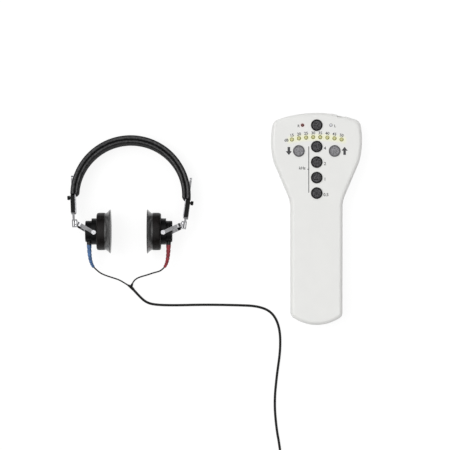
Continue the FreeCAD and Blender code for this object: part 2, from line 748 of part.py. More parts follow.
def rest_pose():
    """The band lies turned by band_turn between the earphones, and the two slide bars stand out by
    unequal lengths, so that both earphones lie level. Gives each bar's slide and the pivots' x from the
    band's centre."""
    half = S.ear_gap_half + S.pivot_out
    drop = S.band_center_y - S.pivot_y
    slides, pivots = [], []
    for side in (1, -1):
        lean = S.slide_lean + side * S.band_turn
        level = drop - drop * cosine(S.band_turn) - side * half * sine(S.band_turn)
        slide = level / cosine(lean)
        slides.append(slide)
        across = half * cosine(S.band_turn) - slide * sine(lean)
        pivots.append(side * across - drop * sine(S.band_turn))
    return slides, pivots


slides, pivots = rest_pose()
right_slide, left_slide = slides
pivot_half = (pivots[0] - pivots[1]) / 2
band_shift = -(pivots[0] + pivots[1]) / 2
ear_face = pivot_half - S.pivot_out


def place_on_band(item, x, y, rotation=None):
    """Places a piece by a point of the band's own frame: origin in the arch's centre, y to the crown."""
    turn = S.band_turn
    spin = about_z(-turn.value)
    place_in_headset(item, band_shift + size(x) * cosine(turn) + size(y) * sine(turn),
                     S.band_center_y + size(y) * cosine(turn) - size(x) * sine(turn), 0,
                     spin if rotation is None else spin * rotation)


def draw_arch(sketch, outer, inner, overrun, tab=None):
    """A band round the origin that runs past the horizontal by overrun at both ends, with an optional
    straight tab that carries on at each end."""
    across, down = cosine(overrun), sine(overrun)
    first = sketch.GeometryCount
    start, end = math.radians(-overrun.value), math.radians(180 + overrun.value)
    for radius in (outer, inner):
        circle = Part.Circle(Vector(0, 0, 0), Vector(0, 0, 1), radius.value)
        index = sketch.addGeometry(Part.ArcOfCircle(circle, start, end), False)
        sketch.addConstraint(Sketcher.Constraint("Coincident", index, 3, -1, 1))
        limit = sketch.addConstraint(Sketcher.Constraint("Radius", index, radius.value))
        bind(sketch, f"Constraints[{limit}]", radius)
        for point in (1, 2):
            low = radius * down
            link = sketch.addConstraint(Sketcher.Constraint("DistanceY", index, point, -1, 1, low.value))
            bind(sketch, f"Constraints[{link}]", low)
    for point, side in ((1, 1), (2, -1)):
        ends = [(side * radius * across, -radius * down) for radius in (outer, inner)]
        chain = list(ends)
        if tab is not None:
            drop = (-side * tab * down, -tab * across)
            chain = [ends[0], (ends[0][0] + drop[0], ends[0][1] + drop[1]),
                     (ends[1][0] + drop[0], ends[1][1] + drop[1]), ends[1]]
        last, last_end = first, point
        for index in range(len(chain) - 1):
            near = Vector(chain[index][0].value, chain[index][1].value, 0)
            far = Vector(chain[index + 1][0].value, chain[index + 1][1].value, 0)
            line = sketch.addGeometry(Part.LineSegment(near, far), False)
            sketch.addConstraint(Sketcher.Constraint("Coincident", line, 1, last, last_end))
            if index + 2 < len(chain):
                pin_point(sketch, line, 2, *chain[index + 1])
            last, last_end = line, 2
        sketch.addConstraint(Sketcher.Constraint("Coincident", last, 2, first + 1, point))


def bar_frame_point(across, along, side=1):
    """A point given across and along the slide bar, in the band's frame."""
    lean = S.slide_lean
    x = across * cosine(lean) + along * sine(lean)
    y = along * cosine(lean) - across * sine(lean)
    return side * x, y


def make_band_piece(label, outer, inner, edge_round):
    body = new_body(label)
    arch = new_sketch(body, "XY_Plane")
    draw_arch(arch, outer, inner, S.band_overrun)
    extrude(body, arch, S.band_width, both=True)
    half = S.band_width / 2

    def long_edge(edge):
        return abs(abs(edge.CenterOfMass.z) - half.value) < 1e-3 and edge.Length > outer.value
    round_edges(body, edge_round, long_edge)
    place_on_band(body, 0, 0)
    return body


def make_headband():
    cover = make_band_piece("headband_cover", S.cover_outer, S.strip_outer, S.cover_round)
    channels = new_sketch(cover, "XY_Plane")
    near = S.bar_offset - S.bar_thickness / 2 - S.slide_gap
    far = S.bar_offset + S.bar_thickness / 2 + S.slide_gap
    for side in (1, -1):
        low, high = S.channel_foot, S.bar_tip + S.channel_run
        corners = [bar_frame_point(near, low, side), bar_frame_point(far, low, side),
                   bar_frame_point(far, high, side), bar_frame_point(near, high, side)]
        draw_closed(channels, corners if side > 0 else corners[::-1])
    cut(cover, channels, S.bar_width + 2 * S.slide_gap, both=True)
    make_band_piece("headband_pad", S.strip_inner, S.pad_inner, S.pad_round)
    strip = new_body("headband_spring")
    arch = new_sketch(strip, "XY_Plane")
    draw_arch(arch, S.strip_outer, S.strip_inner, S.slide_lean, S.strip_tab)
    extrude(strip, arch, S.strip_width, both=True)
    place_on_band(strip, 0, 0)


def make_slide_block():
    """Black clamp block on the outer side of the steel strip, with a way for the slide bar."""
    body = new_body("slide_block_right")
    side = new_sketch(body, "XY_Plane")
    draw_box(side, S.strip_outer + S.slide_gap / 3, S.block_foot, S.block_outer, S.block_top)
    extrude(body, side, S.block_width, both=True)
    round_edges(body, S.block_edge, edges_along("y"))
    way = new_sketch(body, "XY_Plane")
    near = S.bar_offset - S.bar_thickness / 2 - S.slide_gap
    far = S.bar_offset + S.bar_thickness / 2 + S.slide_gap
    draw_box(way, near, S.block_foot - 1, far, S.block_top + 1)
    cut(body, way, S.bar_width + 2 * S.slide_gap, both=True)
    knob_way = new_sketch(body, "YZ_Plane", S.block_outer + 1)
    draw_circle(knob_way, S.knob_y, 0, S.knob_stem_radius + S.slide_gap)
    cut(body, knob_way, S.block_outer + 1 - S.bar_offset)
    place_on_band(body, 0, 0, about_z(-S.slide_lean.value))
    return body


def make_clamp_knob():
    """Thumb screw whose end stands just off the bar, with a grooved round head."""
    body = new_body("clamp_knob_right")
    profile = new_sketch(body, "XY_Plane")
    tip = S.bar_offset + S.bar_thickness / 2 + S.slide_gap / 3
    neck = S.cover_outer + S.knob_gap
    top = neck + S.knob_length
    edge = S.knob_radius / 3
    draw_closed(profile, [
        (tip, 0), (tip, S.knob_stem_radius), (neck, S.knob_stem_radius), (neck, S.knob_radius),
        (top - edge, S.knob_radius), (top, S.knob_radius - edge), (top, 0),
    ], {4: (edge, "left")})
    revolve(body, profile, "H_Axis")
    flutes = new_sketch(body, "YZ_Plane", top)
    for step in range(6):
        angle = math.radians(60 * step)
        out = S.knob_radius + S.knob_flute / 2
        draw_circle(flutes, out * math.cos(angle), out * math.sin(angle), S.knob_flute)
    cut(body, flutes, S.knob_length)
    x, y = bar_frame_point(size(0), S.knob_y)
    place_on_band(body, x, y, about_z(-S.slide_lean.value))
    return body


def make_slide_bar(label, side, slide):
    """Flat bar with the swivel bracket bent at its lower end. The side is 1 on the right, -1 on the left."""
    body = new_body(label)
    half = S.bar_thickness / 2
    flat = new_sketch(body, "XY_Plane")
    draw_box(flat, side * (S.bar_offset - half), S.bar_foot, side * (S.bar_offset + half), S.bar_tip)
    extrude(body, flat, S.bar_width, both=True)
    top = S.bar_tip

    def tip_corner(edge):
        return edges_along("x")(edge) and abs(edge.CenterOfMass.y - top.value) < 1e-4
    round_edges(body, S.bar_width / 2 - 0.1, tip_corner)
    bracket = new_sketch(body, "XY_Plane")
    inner = S.bar_offset - S.bracket_inset
    outer = S.bar_offset + S.bracket_outset
    foot = S.bar_foot - S.bracket_height
    wall = S.bracket_wall
    corners = [
        (inner, foot), (outer, foot), (outer, S.bar_foot), (inner, S.bar_foot),
        (inner, S.bar_foot - wall), (outer - wall, S.bar_foot - wall),
        (outer - wall, foot + wall), (inner, foot + wall),
    ]
    draw_closed(bracket, [(side * x, y) for x, y in corners])
    extrude(body, bracket, S.bar_width, both=True)
    holes = new_sketch(body, "XZ_Plane", -S.bar_foot)
    draw_circle(holes, side * (S.bar_offset - S.swivel_inset), 0, S.swivel_pin_radius + S.swivel_gap / 2)
    cut(body, holes, S.bracket_height + 1, back=True)
    x, y = bar_frame_point(size(0), -slide, side)
    place_on_band(body, x, y, about_z(-side * S.slide_lean.value))
    return body


def make_yoke(label, side, slide):
    """A bent strip in the plane of the arms and the swivel centre, with its barrel and pin."""
    across = S.bar_offset - S.swivel_inset
    along = S.bar_foot - S.bracket_height / 2
    hub_x, hub_y = bar_frame_point(across, along - slide, side)
    slid_x, slid_y = bar_frame_point(size(0), -slide, side)
    run_x = side * (S.ear_gap_half + S.pivot_out) + slid_x - hub_x
    run_y = S.pivot_y - S.band_center_y + slid_y - hub_y
    length = root(run_x * run_x + run_y * run_y)
    strip = new_body(f"{label}_strip")
    shape = new_sketch(strip, "XY_Plane")
    half = S.yoke_thickness / 2
    bend = S.yoke_bend
    back = S.yoke_crossbar
    end = length + S.yoke_ear
    out, in_ = S.yoke_arm_z + half, S.yoke_arm_z - half
    draw_closed(shape, [
        (back - half, -out + bend + half), (back + bend, -out), (end, -out), (end, -in_),
        (back + bend, -in_), (back + half, -out + bend + half), (back + half, out - bend - half),
        (back + bend, in_), (end, in_), (end, out), (back + bend, out), (back - half, out - bend - half),
    ], {0: bend + half, 4: (bend - half, "left"), 6: (bend - half, "left"), 10: bend + half})
    extrude(strip, shape, S.yoke_width, both=True)

    def ear_corner(edge):
        return edges_along("y")(edge) and abs(edge.CenterOfMass.x - end.value) < 1e-4
    round_edges(strip, S.yoke_width / 2 - 0.15, ear_corner)
    holes = new_sketch(strip, "XZ_Plane", -S.yoke_arm_z - 3)
    draw_circle(holes, length, 0, S.pivot_hole_radius)
    cut(strip, holes, 2 * S.yoke_arm_z + 6, back=True)
    turn = math.atan2(run_y.value, run_x.value)
    along_d = Vector(math.cos(turn), math.sin(turn), 0)
    frame = FreeCAD.Rotation(along_d, Vector(0, 0, 1), along_d.cross(Vector(0, 0, 1)), "XYZ")
    place_on_band(strip, hub_x, hub_y, frame)
    pieces = [strip]
    slot = S.bracket_height - 2 * S.bracket_wall
    upright = about_z(-side * S.slide_lean.value) * FreeCAD.Rotation(Vector(1, 0, 0), -90)
    for part, radius, height in (("barrel", S.barrel_radius, slot - 2 * S.swivel_gap),
                                 ("pin", S.swivel_pin_radius, S.bracket_height)):
        rod = doc.addObject("Part::Cylinder", f"{label}_{part}")
        bind(rod, "Radius", radius)
        bind(rod, "Height", height)
        low_x, low_y = bar_frame_point(across, along - slide - height / 2, side)
        place_on_band(rod, low_x, low_y, upright)
        pieces.append(rod)
    yoke = doc.addObject("Part::MultiFuse", label)
    yoke.Shapes = pieces
    doc.recompute()
    return yoke


def turned_on_ear_axis(label, corners, arcs=None):
    """A turned piece: corners are (distance out from the ear face, radius)."""
    body = new_body(label)
    profile = new_sketch(body, "XY_Plane")
    draw_closed(profile, corners, arcs)
    revolve(body, profile, "H_Axis")
    return body


def place_on_ear(item):
    place_in_headset(item, ear_face, 0, 0)
    return item


def make_earphone_case():
    flange_back = S.flange_out + S.case_flange_thickness
    body = turned_on_ear_axis("earphone_case_right", [
        (S.flange_out, S.driver_radius + S.fit_gap), (S.flange_out, S.case_flange_radius),
        (flange_back, S.case_flange_radius), (flange_back, S.case_radius), (S.case_end, S.case_radius),
        (S.case_end, S.magnet_radius), (S.case_end - S.case_wall, S.magnet_radius),
        (S.case_end - S.case_wall, S.driver_radius + S.fit_gap),
    ])
    bosses = new_sketch(body, "XY_Plane", -S.boss_face_z)
    draw_circle(bosses, S.pivot_out, S.pivot_y, S.boss_radius)
    inner = root(S.case_radius * S.case_radius - (S.boss_radius - S.pivot_y) * (S.boss_radius - S.pivot_y))
    extrude(body, bosses, S.boss_face_z - inner + 1)
    upper = new_sketch(body, "XY_Plane", S.boss_face_z)
    draw_circle(upper, S.pivot_out, S.pivot_y, S.boss_radius)
    extrude(body, upper, S.boss_face_z - inner + 1, back=True)
    threads = new_sketch(body, "XY_Plane", S.boss_face_z + 1)
    draw_circle(threads, S.pivot_out, S.pivot_y, S.screw_shank_radius)
    cut(body, threads, 2 * S.boss_face_z + 2)
    return place_on_ear(body)


def make_pivot_screws():
    body = new_body("pivot_screws_right")
    seat = S.yoke_arm_z + S.yoke_thickness / 2 + S.slide_gap / 3
    for side, back in ((1, False), (-1, True)):
        head = new_sketch(body, "XY_Plane", side * seat)
        draw_circle(head, S.pivot_out, S.pivot_y, S.pivot_screw_head)
        extrude(body, head, S.pivot_screw_head_height, back=back)
        shank = new_sketch(body, "XY_Plane", side * seat)
        draw_circle(shank, S.pivot_out, S.pivot_y, S.screw_shank_radius)
        extrude(body, shank, seat - S.boss_face_z + S.pivot_screw_bite, back=not back)
        slot = new_sketch(body, "XY_Plane", side * (seat + S.pivot_screw_head_height / 2))
        draw_box(slot, S.pivot_out - S.pivot_screw_head, S.pivot_y - S.pivot_slot_half,
                 S.pivot_out + S.pivot_screw_head, S.pivot_y + S.pivot_slot_half)
        cut(body, slot, S.pivot_screw_head_height, back=not back)
    return place_on_ear(body)


def make_earphone_cap():
    inside = S.cap_shell_radius - S.cap_wall
    body = turned_on_ear_axis("earphone_cap_right", [
        (S.case_end, inside), (S.case_end, S.cap_shell_radius),
        (S.cap_end - S.cap_round, S.cap_shell_radius), (S.cap_end, S.cap_shell_radius - S.cap_round),
        (S.cap_end, 0), (S.cap_end - S.cap_wall, 0), (S.cap_end - S.cap_wall, inside),
    ], {2: (S.cap_round, "left")})
    gland = new_sketch(body, "XZ_Plane")
    draw_circle(gland, S.relief_out, 0, S.relief_root_radius + S.fit_gap / 2)
    cut(body, gland, S.cap_shell_radius + 1, back=True)
    return place_on_ear(body)


def make_grille():
    """A thin disc with a ring of sound holes round a middle one."""
    body = turned_on_ear_axis("ear_grille_right", [
        (S.grille_out, 0), (S.grille_out, S.case_flange_radius),
        (S.grille_out + S.grille_thickness, S.case_flange_radius), (S.grille_out + S.grille_thickness, 0),
    ])
    holes = new_sketch(body, "YZ_Plane", S.grille_out + S.grille_thickness)
    draw_circle(holes, 0, 0, S.sound_hole)
    ring = S.cushion_hole * 0.6
    for step in range(6):
        angle = math.radians(60 * step)
        draw_circle(holes, ring * math.cos(angle), ring * math.sin(angle), S.sound_hole)
    cut(body, holes, 2 * S.grille_thickness)
    return place_on_ear(body)


def make_driver():
    start = S.grille_out + S.grille_thickness + S.driver_gap
    return place_on_ear(turned_on_ear_axis("earphone_driver_right", [
        (start, 0), (start, S.driver_radius), (start + S.driver_thickness, S.driver_radius),
        (start + S.driver_thickness, S.magnet_radius),
        (start + S.driver_thickness + S.magnet_depth, S.magnet_radius),
        (start + S.driver_thickness + S.magnet_depth, 0),
    ]))


def make_cushion():
    """Soft ring with a flared sealing rim, a dished front and a groove that grips the case flange."""
    clear = S.cushion_clear
    front = S.grille_out - clear
    groove_back = S.flange_out + S.case_flange_thickness + clear
    return place_on_ear(turned_on_ear_axis("ear_cushion_right", [
        (0, S.rim_radius - S.rim_thickness), (0, S.rim_radius), (S.rim_thickness, S.rim_radius),
        (S.cone_depth, S.cushion_radius), (S.cushion_depth - S.cushion_edge, S.cushion_radius),
        (S.cushion_depth, S.cushion_radius - S.cushion_edge), (S.cushion_depth, S.case_radius + clear),
        (groove_back, S.case_radius + clear), (groove_back, S.case_flange_radius + clear),
        (front, S.case_flange_radius + clear), (front, S.cushion_hole), (S.dish_depth, S.cushion_hole),
    ], {4: (S.cushion_edge, "left")}))


def bezier(points, share):
    """A point on the cubic curve through four control points."""
    a, b, c, d = points
    rest = 1 - share
    return a * rest ** 3 + b * (3 * rest * rest * share) + c * (3 * rest * share * share) + d * share ** 3


relief_tip = Vector(41.8, -41.4, 19.5)   # from the point of the table under the middle of the ears
relief_end_way = Vector(-0.47, -0.66, -0.59).normalize()


def relief_controls():
    root_point = headset_point(ear_face + S.relief_out, S.relief_start_y, size(0))
    start = Vector(*[part.value for part in root_point])
    end = Vector(S.headset_x.value, S.headset_y.value, 0) + relief_tip
    leave = headset_rotation().multVec(Vector(0, -1, 0))
    return [start, start + leave * S.relief_leave.value, end - relief_end_way * S.relief_arrive.value, end]


def make_strain_relief():
    """Tapered sleeve, lofted through circles that follow the droop of the lead."""
    controls = relief_controls()
    count = 5
    rings = []
    for step in range(count):
        share = step / (count - 1)
        near = bezier(controls, max(share - 0.01, 0.0))
        far = bezier(controls, min(share + 0.01, 1.0))
        radius = S.relief_root_radius.value + share * (S.relief_tip_radius.value - S.relief_root_radius.value)
        circle = Part.Circle(bezier(controls, share), far - near, radius)
        rings.append(Part.Wire([circle.toShape()]))
    relief = doc.addObject("Part::Feature", "strain_relief_right")
    relief.Shape = Part.makeLoft(rings, True)
    return relief


def mirror_to_left(item, base, normal):
    """The left twin of a right piece, mirrored in the plane through base across normal."""
    left = doc.addObject("Part::Mirroring", item.Label.replace("_right", "_left"))
    left.Source = item
    for name, point in (("Base", base), ("Normal", normal)):
        setattr(left, name, Vector(*[size(part).value for part in point]))
        for axis, part in zip("xyz", point):
            bind(left, f"{name}.{axis}", part)


make_headband()
for label, side, slide in (("right", 1, right_slide), ("left", -1, left_slide)):
    make_slide_bar(f"slide_bar_{label}", side, slide)
    make_yoke(f"yoke_{label}", side, slide)
band_middle = headset_point(band_shift, S.band_center_y, size(0))
band_across = (cosine(S.band_turn), -sine(S.band_turn) * cosine(tilt), sine(S.band_turn) * sine(tilt))
for item in (make_slide_block(), make_clamp_knob()):
    mirror_to_left(item, band_middle, band_across)
for item in (make_earphone_case(), make_pivot_screws(), make_earphone_cap(), make_grille(), make_driver(),
             make_cushion(), make_strain_relief()):
    mirror_to_left(item, (S.headset_x, 0, 0), (1, 0, 0))
doc.recompute()


# ---- cords: straight runs joined by tangent arcs -------------------------------------------------

lead = S.leg_radius.value + 0.05     # height of a thin lead lying on the table
lie = S.cord_radius.value + 0.05     # height of the main cord lying on the table
junction = Vector(-217.8, -80.2, 2.15)
arm_reach = 4.2                      # from the splitter's middle to the ends of its arms
arm_seat = 0.4                       # how far each cord is moulded into its arm
right_way = Vector(0.36, 0.93, 0).normalize()
left_way = Vector(-0.86, 0.5, 0).normalize()
main_way = Vector(0.66, -0.75, -0.05).normalize()

right_leg_route = [
    relief_controls()[3] + relief_end_way * S.relief_gap.value, Vector(-181.6, -60.9, 13.6),
    Vector(-190.6, -63.2, 6.2), Vector(-200.0, -66.4, 1.9), Vector(-208.2, -68.6, lead),
    Vector(-214.4, -72.2, 1.2),
    junction + right_way * (arm_reach - arm_seat),
]
left_leg_route = [
    Vector(2 * S.headset_x.value - right_leg_route[0].x, right_leg_route[0].y, right_leg_route[0].z),
    Vector(-255.6, -62.6, 12.9), Vector(-247.6, -66.6, 5.8), Vector(-239.0, -69.4, 1.7),
    Vector(-231.4, -72.0, lead), Vector(-225.9, -75.3, 1.2),
    junction + left_way * (arm_reach - arm_seat),
]
main_route = [
    junction + main_way * (arm_reach - arm_seat), Vector(-207.2, -92.2, lie),
    Vector(-199.4, -98.6, lie), Vector(-189.6, -101.2, lie), Vector(-168.0, -101.9, lie),
    Vector(-131.0, -101.0, lie), Vector(-94.0, -101.6, lie),
    Vector(-68.0, -102.6, lie), Vector(-51.0, -110.0, lie), Vector(-42.4, -128.0, lie),
    Vector(-41.6, -154.0, lie), Vector(-46.0, -184.0, lie), Vector(-49.0, -216.0, lie),
    Vector(-46.6, -246.0, lie), Vector(-42.6, -268.0, lie), Vector(-41.4, -282.0, 2.6),
    Vector(-42.6, -296.0, 4.9),
]
coil_top = S.coil_base + S.coil_height
plug_height = coil_top + S.plug_radius + 0.05
on_coil = coil_top.value + S.cord_radius.value + 0.05
plug_end = Vector(S.coil_x.value, S.coil_y.value + (S.plug_collar_y - S.plug_length).value, plug_height.value)
tail_route = [
    Vector(-43.5, -300.0, on_coil), Vector(-43.1, -309.5, on_coil), Vector(-46.6, -318.6, 11.6),
    Vector(-55.0, -325.2, 12.4), Vector(plug_end.x, -322.4, plug_end.z), plug_end,
]


def cord_path(route, name):
    """Runs between the route's points, each corner an arc as large as its two runs allow."""
    edges, radii = [], []
    last = route[0]
    for index in range(1, len(route) - 1):
        corner = route[index]
        back, ahead = route[index - 1] - corner, route[index + 1] - corner
        half_turn = (math.pi - back.getAngle(ahead)) / 2
        trim = 0.45 * min(back.Length, ahead.Length)
        radii.append(trim / math.tan(half_turn))
        back.normalize()
        ahead.normalize()
        inward = (back + ahead).normalize()
        start, end = corner + back * trim, corner + ahead * trim
        middle = corner + inward * (radii[-1] / math.cos(half_turn) - radii[-1])
        edges.append(Part.LineSegment(last, start).toShape())
        edges.append(Part.Arc(start, middle, end).toShape())
        last = end
    edges.append(Part.LineSegment(last, route[-1]).toShape())
    print(f"{name}: radii {[round(radius, 1) for radius in radii]}")
    return Part.Wire(edges)


def make_cord(label, route, radius):
    path = cord_path(route, label)
    start = Part.Wire([Part.Circle(route[0], route[1] - route[0], radius).toShape()])
    tube = doc.addObject("Part::Feature", label)
    tube.Shape = path.makePipeShell([start], True, True)
    expected = math.pi * radius * radius * path.Length
    print(f"{label}: length {path.Length:.1f}, volume over section times length "
          f"{tube.Shape.Volume / expected:.4f}")
    return tube


def make_splitter():
    """Moulded Y where the two thin leads join the main cord."""
    pieces = [Part.makeSphere(S.splitter_radius.value, junction, main_way)]
    for way, radius in ((right_way, S.leg_radius), (left_way, S.leg_radius), (main_way, S.cord_radius)):
        tip = radius.value + S.splitter_wall.value
        pieces.append(Part.makeCone(S.arm_root.value, tip, arm_reach, junction, way))
    splitter = doc.addObject("Part::Feature", "cord_splitter")
    splitter.Shape = pieces[0].fuse(pieces[1:])
    return splitter


def make_coil():
    """The outer shape of the wound length: a ring of bevelled rectangular section."""
    body = new_body("cord_coil")
    section = new_sketch(body, "XZ_Plane")
    inner = S.coil_radius - S.coil_section / 2
    outer = S.coil_radius + S.coil_section / 2
    low, high, bevel = S.coil_base, S.coil_base + S.coil_height, S.coil_height / 4
    draw_closed(section, [
        (inner + bevel, low), (outer - bevel, low), (outer, low + bevel), (outer, high - bevel),
        (outer - bevel, high), (inner + bevel, high), (inner, high - bevel), (inner, low + bevel),
    ])
    revolve(body, section, "V_Axis")
    place(body, S.coil_x, S.coil_y, size(0))
    return body


def make_coil_tie():
    """A strap round the wound turns."""
    body = new_body("coil_tie")
    inner = S.coil_radius - S.coil_section / 2
    outer = S.coil_radius + S.coil_section / 2
    low, high = S.coil_base, S.coil_base + S.coil_height
    around = new_sketch(body, "XZ_Plane")
    margin = S.tie_thickness
    draw_box(around, -outer - margin, low - margin, -inner + margin, high + margin)
    extrude(body, around, S.tie_width, both=True)
    inside = new_sketch(body, "XZ_Plane")
    draw_box(inside, -outer, low, -inner + margin / 2, high)
    cut(body, inside, S.tie_width + 2, both=True)
    place(body, S.coil_x, S.coil_y, size(0), about_z(180 + S.tie_angle.value))
    return body


def make_plug():
    """Moulded grip with a short sleeve towards the cord, and the stepped contact pin."""
    body = new_body("plug_body")
    profile = new_sketch(body, "XY_Plane")
    grip = S.plug_length * 0.62
    draw_closed(profile, [
        (0, 0), (0, S.plug_radius * 0.85), (1.2, S.plug_radius), (grip, S.plug_radius),
        (grip + 2, S.plug_radius * 0.75), (S.plug_length, S.cord_radius + 0.5), (S.plug_length, 0),
    ])
    revolve(body, profile, "H_Axis")
    pin = new_body("plug_pin")
    contact = new_sketch(pin, "XY_Plane")
    tip = S.pin_length
    radius = S.pin_radius
    draw_closed(contact, [
        (0, 0), (-tip, 0), (-tip, radius * 0.3), (-tip + 1.4, radius * 0.92), (-tip + 2.6, radius * 0.6),
        (-tip + 3.4, radius), (-tip * 0.55, radius), (-tip * 0.55 + 0.4, radius * 0.88),
        (-tip * 0.55 + 0.9, radius), (0, radius),
    ])
    revolve(pin, contact, "H_Axis")
    for item in (body, pin):
        place(item, S.coil_x, S.coil_y + S.plug_collar_y, plug_height, about_z(-90))


make_cord("cord_leg_right", right_leg_route, S.leg_radius.value)
make_cord("cord_leg_left", left_leg_route, S.leg_radius.value)
make_cord("cord_main", main_route, S.cord_radius.value)
make_cord("cord_tail", tail_route, S.cord_radius.value)
make_splitter()
make_coil()
make_coil_tie()
make_plug()
doc.recompute()


# ---- checks and files ----------------------------------------------------------------------------

helpers = {"cover_form", "cover_plate", "yoke_right_strip", "yoke_left_strip"}
kinds = ("PartDesign::Body", "Part::Feature", "Part::Common", "Part::MultiFuse", "Part::Mirroring")
nodes = [item for item in doc.Objects if item.TypeId in kinds and item.Label not in helpers]
for item in doc.Objects:
    if "Invalid" in item.State or "Error" in item.State:
        raise RuntimeError(f"{item.Label} failed: {item.State}")
for item in nodes:
    if item.Shape.isNull() or not item.Shape.isValid():
        raise RuntimeError(f"{item.Label} has no valid shape")
os.makedirs("parts", exist_ok=True)
for item in nodes:
    item.Shape.exportStep(os.path.join("parts", f"{item.Label}.step"))
print(f"{len(nodes)} parts written, headset tilt {tilt.value:.3f} degrees")
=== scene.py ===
import json
import math
import bmesh
import bpy
from mathutils import Matrix, Vector


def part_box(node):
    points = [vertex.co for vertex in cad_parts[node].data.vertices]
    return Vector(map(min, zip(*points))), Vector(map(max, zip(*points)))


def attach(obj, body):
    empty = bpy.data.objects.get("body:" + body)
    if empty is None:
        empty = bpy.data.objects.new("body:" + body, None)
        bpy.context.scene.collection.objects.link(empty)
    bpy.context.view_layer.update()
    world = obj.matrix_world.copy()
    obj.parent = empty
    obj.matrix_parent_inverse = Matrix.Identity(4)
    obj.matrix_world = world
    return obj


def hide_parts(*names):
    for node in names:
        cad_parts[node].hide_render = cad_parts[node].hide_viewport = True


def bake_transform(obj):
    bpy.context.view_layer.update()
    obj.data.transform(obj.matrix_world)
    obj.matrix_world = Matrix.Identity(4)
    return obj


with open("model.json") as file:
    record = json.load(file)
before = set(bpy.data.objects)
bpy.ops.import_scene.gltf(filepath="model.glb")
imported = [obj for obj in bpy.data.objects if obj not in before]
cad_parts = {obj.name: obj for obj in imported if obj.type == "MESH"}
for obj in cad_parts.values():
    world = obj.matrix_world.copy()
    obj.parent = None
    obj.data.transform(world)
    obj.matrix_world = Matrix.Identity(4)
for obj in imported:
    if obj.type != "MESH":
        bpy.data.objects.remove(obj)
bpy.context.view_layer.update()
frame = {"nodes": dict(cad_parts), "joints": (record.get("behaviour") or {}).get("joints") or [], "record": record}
mm = 0.001


# shader building: a socket that takes part in sums, and the nodes of one tree

class Channel:
    def __init__(self, maker, socket):
        self.maker, self.socket = maker, socket

    def combine(self, operation, first, second=0.0):
        return self.maker.node("ShaderNodeMath", {"operation": operation}, {0: first, 1: second})

    def __add__(self, other):
        return self.combine("ADD", self, other)

    def __radd__(self, other):
        return self.combine("ADD", other, self)

    def __sub__(self, other):
        return self.combine("SUBTRACT", self, other)

    def __rsub__(self, other):
        return self.combine("SUBTRACT", other, self)

    def __mul__(self, other):
        return self.combine("MULTIPLY", self, other)

    def __rmul__(self, other):
        return self.combine("MULTIPLY", other, self)

    def __abs__(self):
        return self.combine("ABSOLUTE", self)


class Shading:
    def __init__(self, tree):
        self.tree = tree

    def node(self, kind, settings=None, sockets=None, out=0):
        made = self.tree.nodes.new(kind)
        for key, value in (settings or {}).items():
            setattr(made, key, value)
        for key, value in (sockets or {}).items():
            if isinstance(value, Channel):
                self.tree.links.new(value.socket, made.inputs[key])
            else:
                made.inputs[key].default_value = value
        return Channel(self, made.outputs[out])

    def vectorMath(self, operation, first, second, out="Value"):
        return self.node("ShaderNodeVectorMath", {"operation": operation},
                         {0: first, 1: second}, out)

    def fade(self, value, low, high):
        # 0 at low and 1 at high, eased at both ends
        return self.node("ShaderNodeMapRange", {"interpolation_type": "SMOOTHSTEP"},
                         {"Value": value, "From Min": low, "From Max": high})


class Finish(Shading):
    def __init__(self, name, settings):
        self.material = bpy.data.materials.new(name)
        self.material.use_nodes = True
        super().__init__(self.material.node_tree)
        self.shader = self.tree.nodes["Principled BSDF"]
        for socket, value in settings.items():
            self.shader.inputs[socket].default_value = value
        self.place = self.node("ShaderNodeTexCoord", out="Object")

    def noise(self, scale, detail=3.0):
        return self.node("ShaderNodeTexNoise", {},
                         {"Vector": self.place, "Scale": scale, "Detail": detail}, out="Fac")

    def patches(self, scale, low=0.3, high=0.7, detail=3.0):
        # soft clouds between 0 and 1, with harder edges the closer low and high are
        return self.fade(self.noise(scale, detail), low, high)

    def cells(self, scale):
        return self.node("ShaderNodeTexVoronoi", {},
                         {"Vector": self.place, "Scale": scale}, out="Distance")

    def along(self, axis):
        return self.node("ShaderNodeSeparateXYZ", {}, {0: self.place}, out=axis)

    def distanceFrom(self, x, y):
        # distance in plan from an upright line through a point
        flat = self.vectorMath("MULTIPLY", self.place, (1, 1, 0), "Vector")
        return self.vectorMath("DISTANCE", flat, (x, y, 0))

    def mix(self, share, first, second):
        # sockets 6 and 7 and output 2 are the node's colours
        return self.node("ShaderNodeMix", {"data_type": "RGBA"},
                         {0: share, 6: first, 7: second}, out=2)

    def bump(self, height, strength, distance):
        return self.node("ShaderNodeBump", {},
                         {"Height": height, "Strength": strength, "Distance": distance})

    def feed(self, socket, value):
        self.tree.links.new(value.socket, self.shader.inputs[socket])

    def feedGloss(self, unevenness, roughness, spread=0.12):
        self.feed("Roughness", unevenness * spread + (roughness - spread / 2))

    def feedGrain(self, scale, depth, strength=0.3, detail=2.0):
        self.feed("Normal", self.bump(self.noise(scale, detail), strength, depth))


def color(red, green, blue, factor=1.0):
    return (min(1.0, red * factor), min(1.0, green * factor), min(1.0, blue * factor), 1.0)


# camera straight above, soft light from overhead and a little from the upper left, pale table

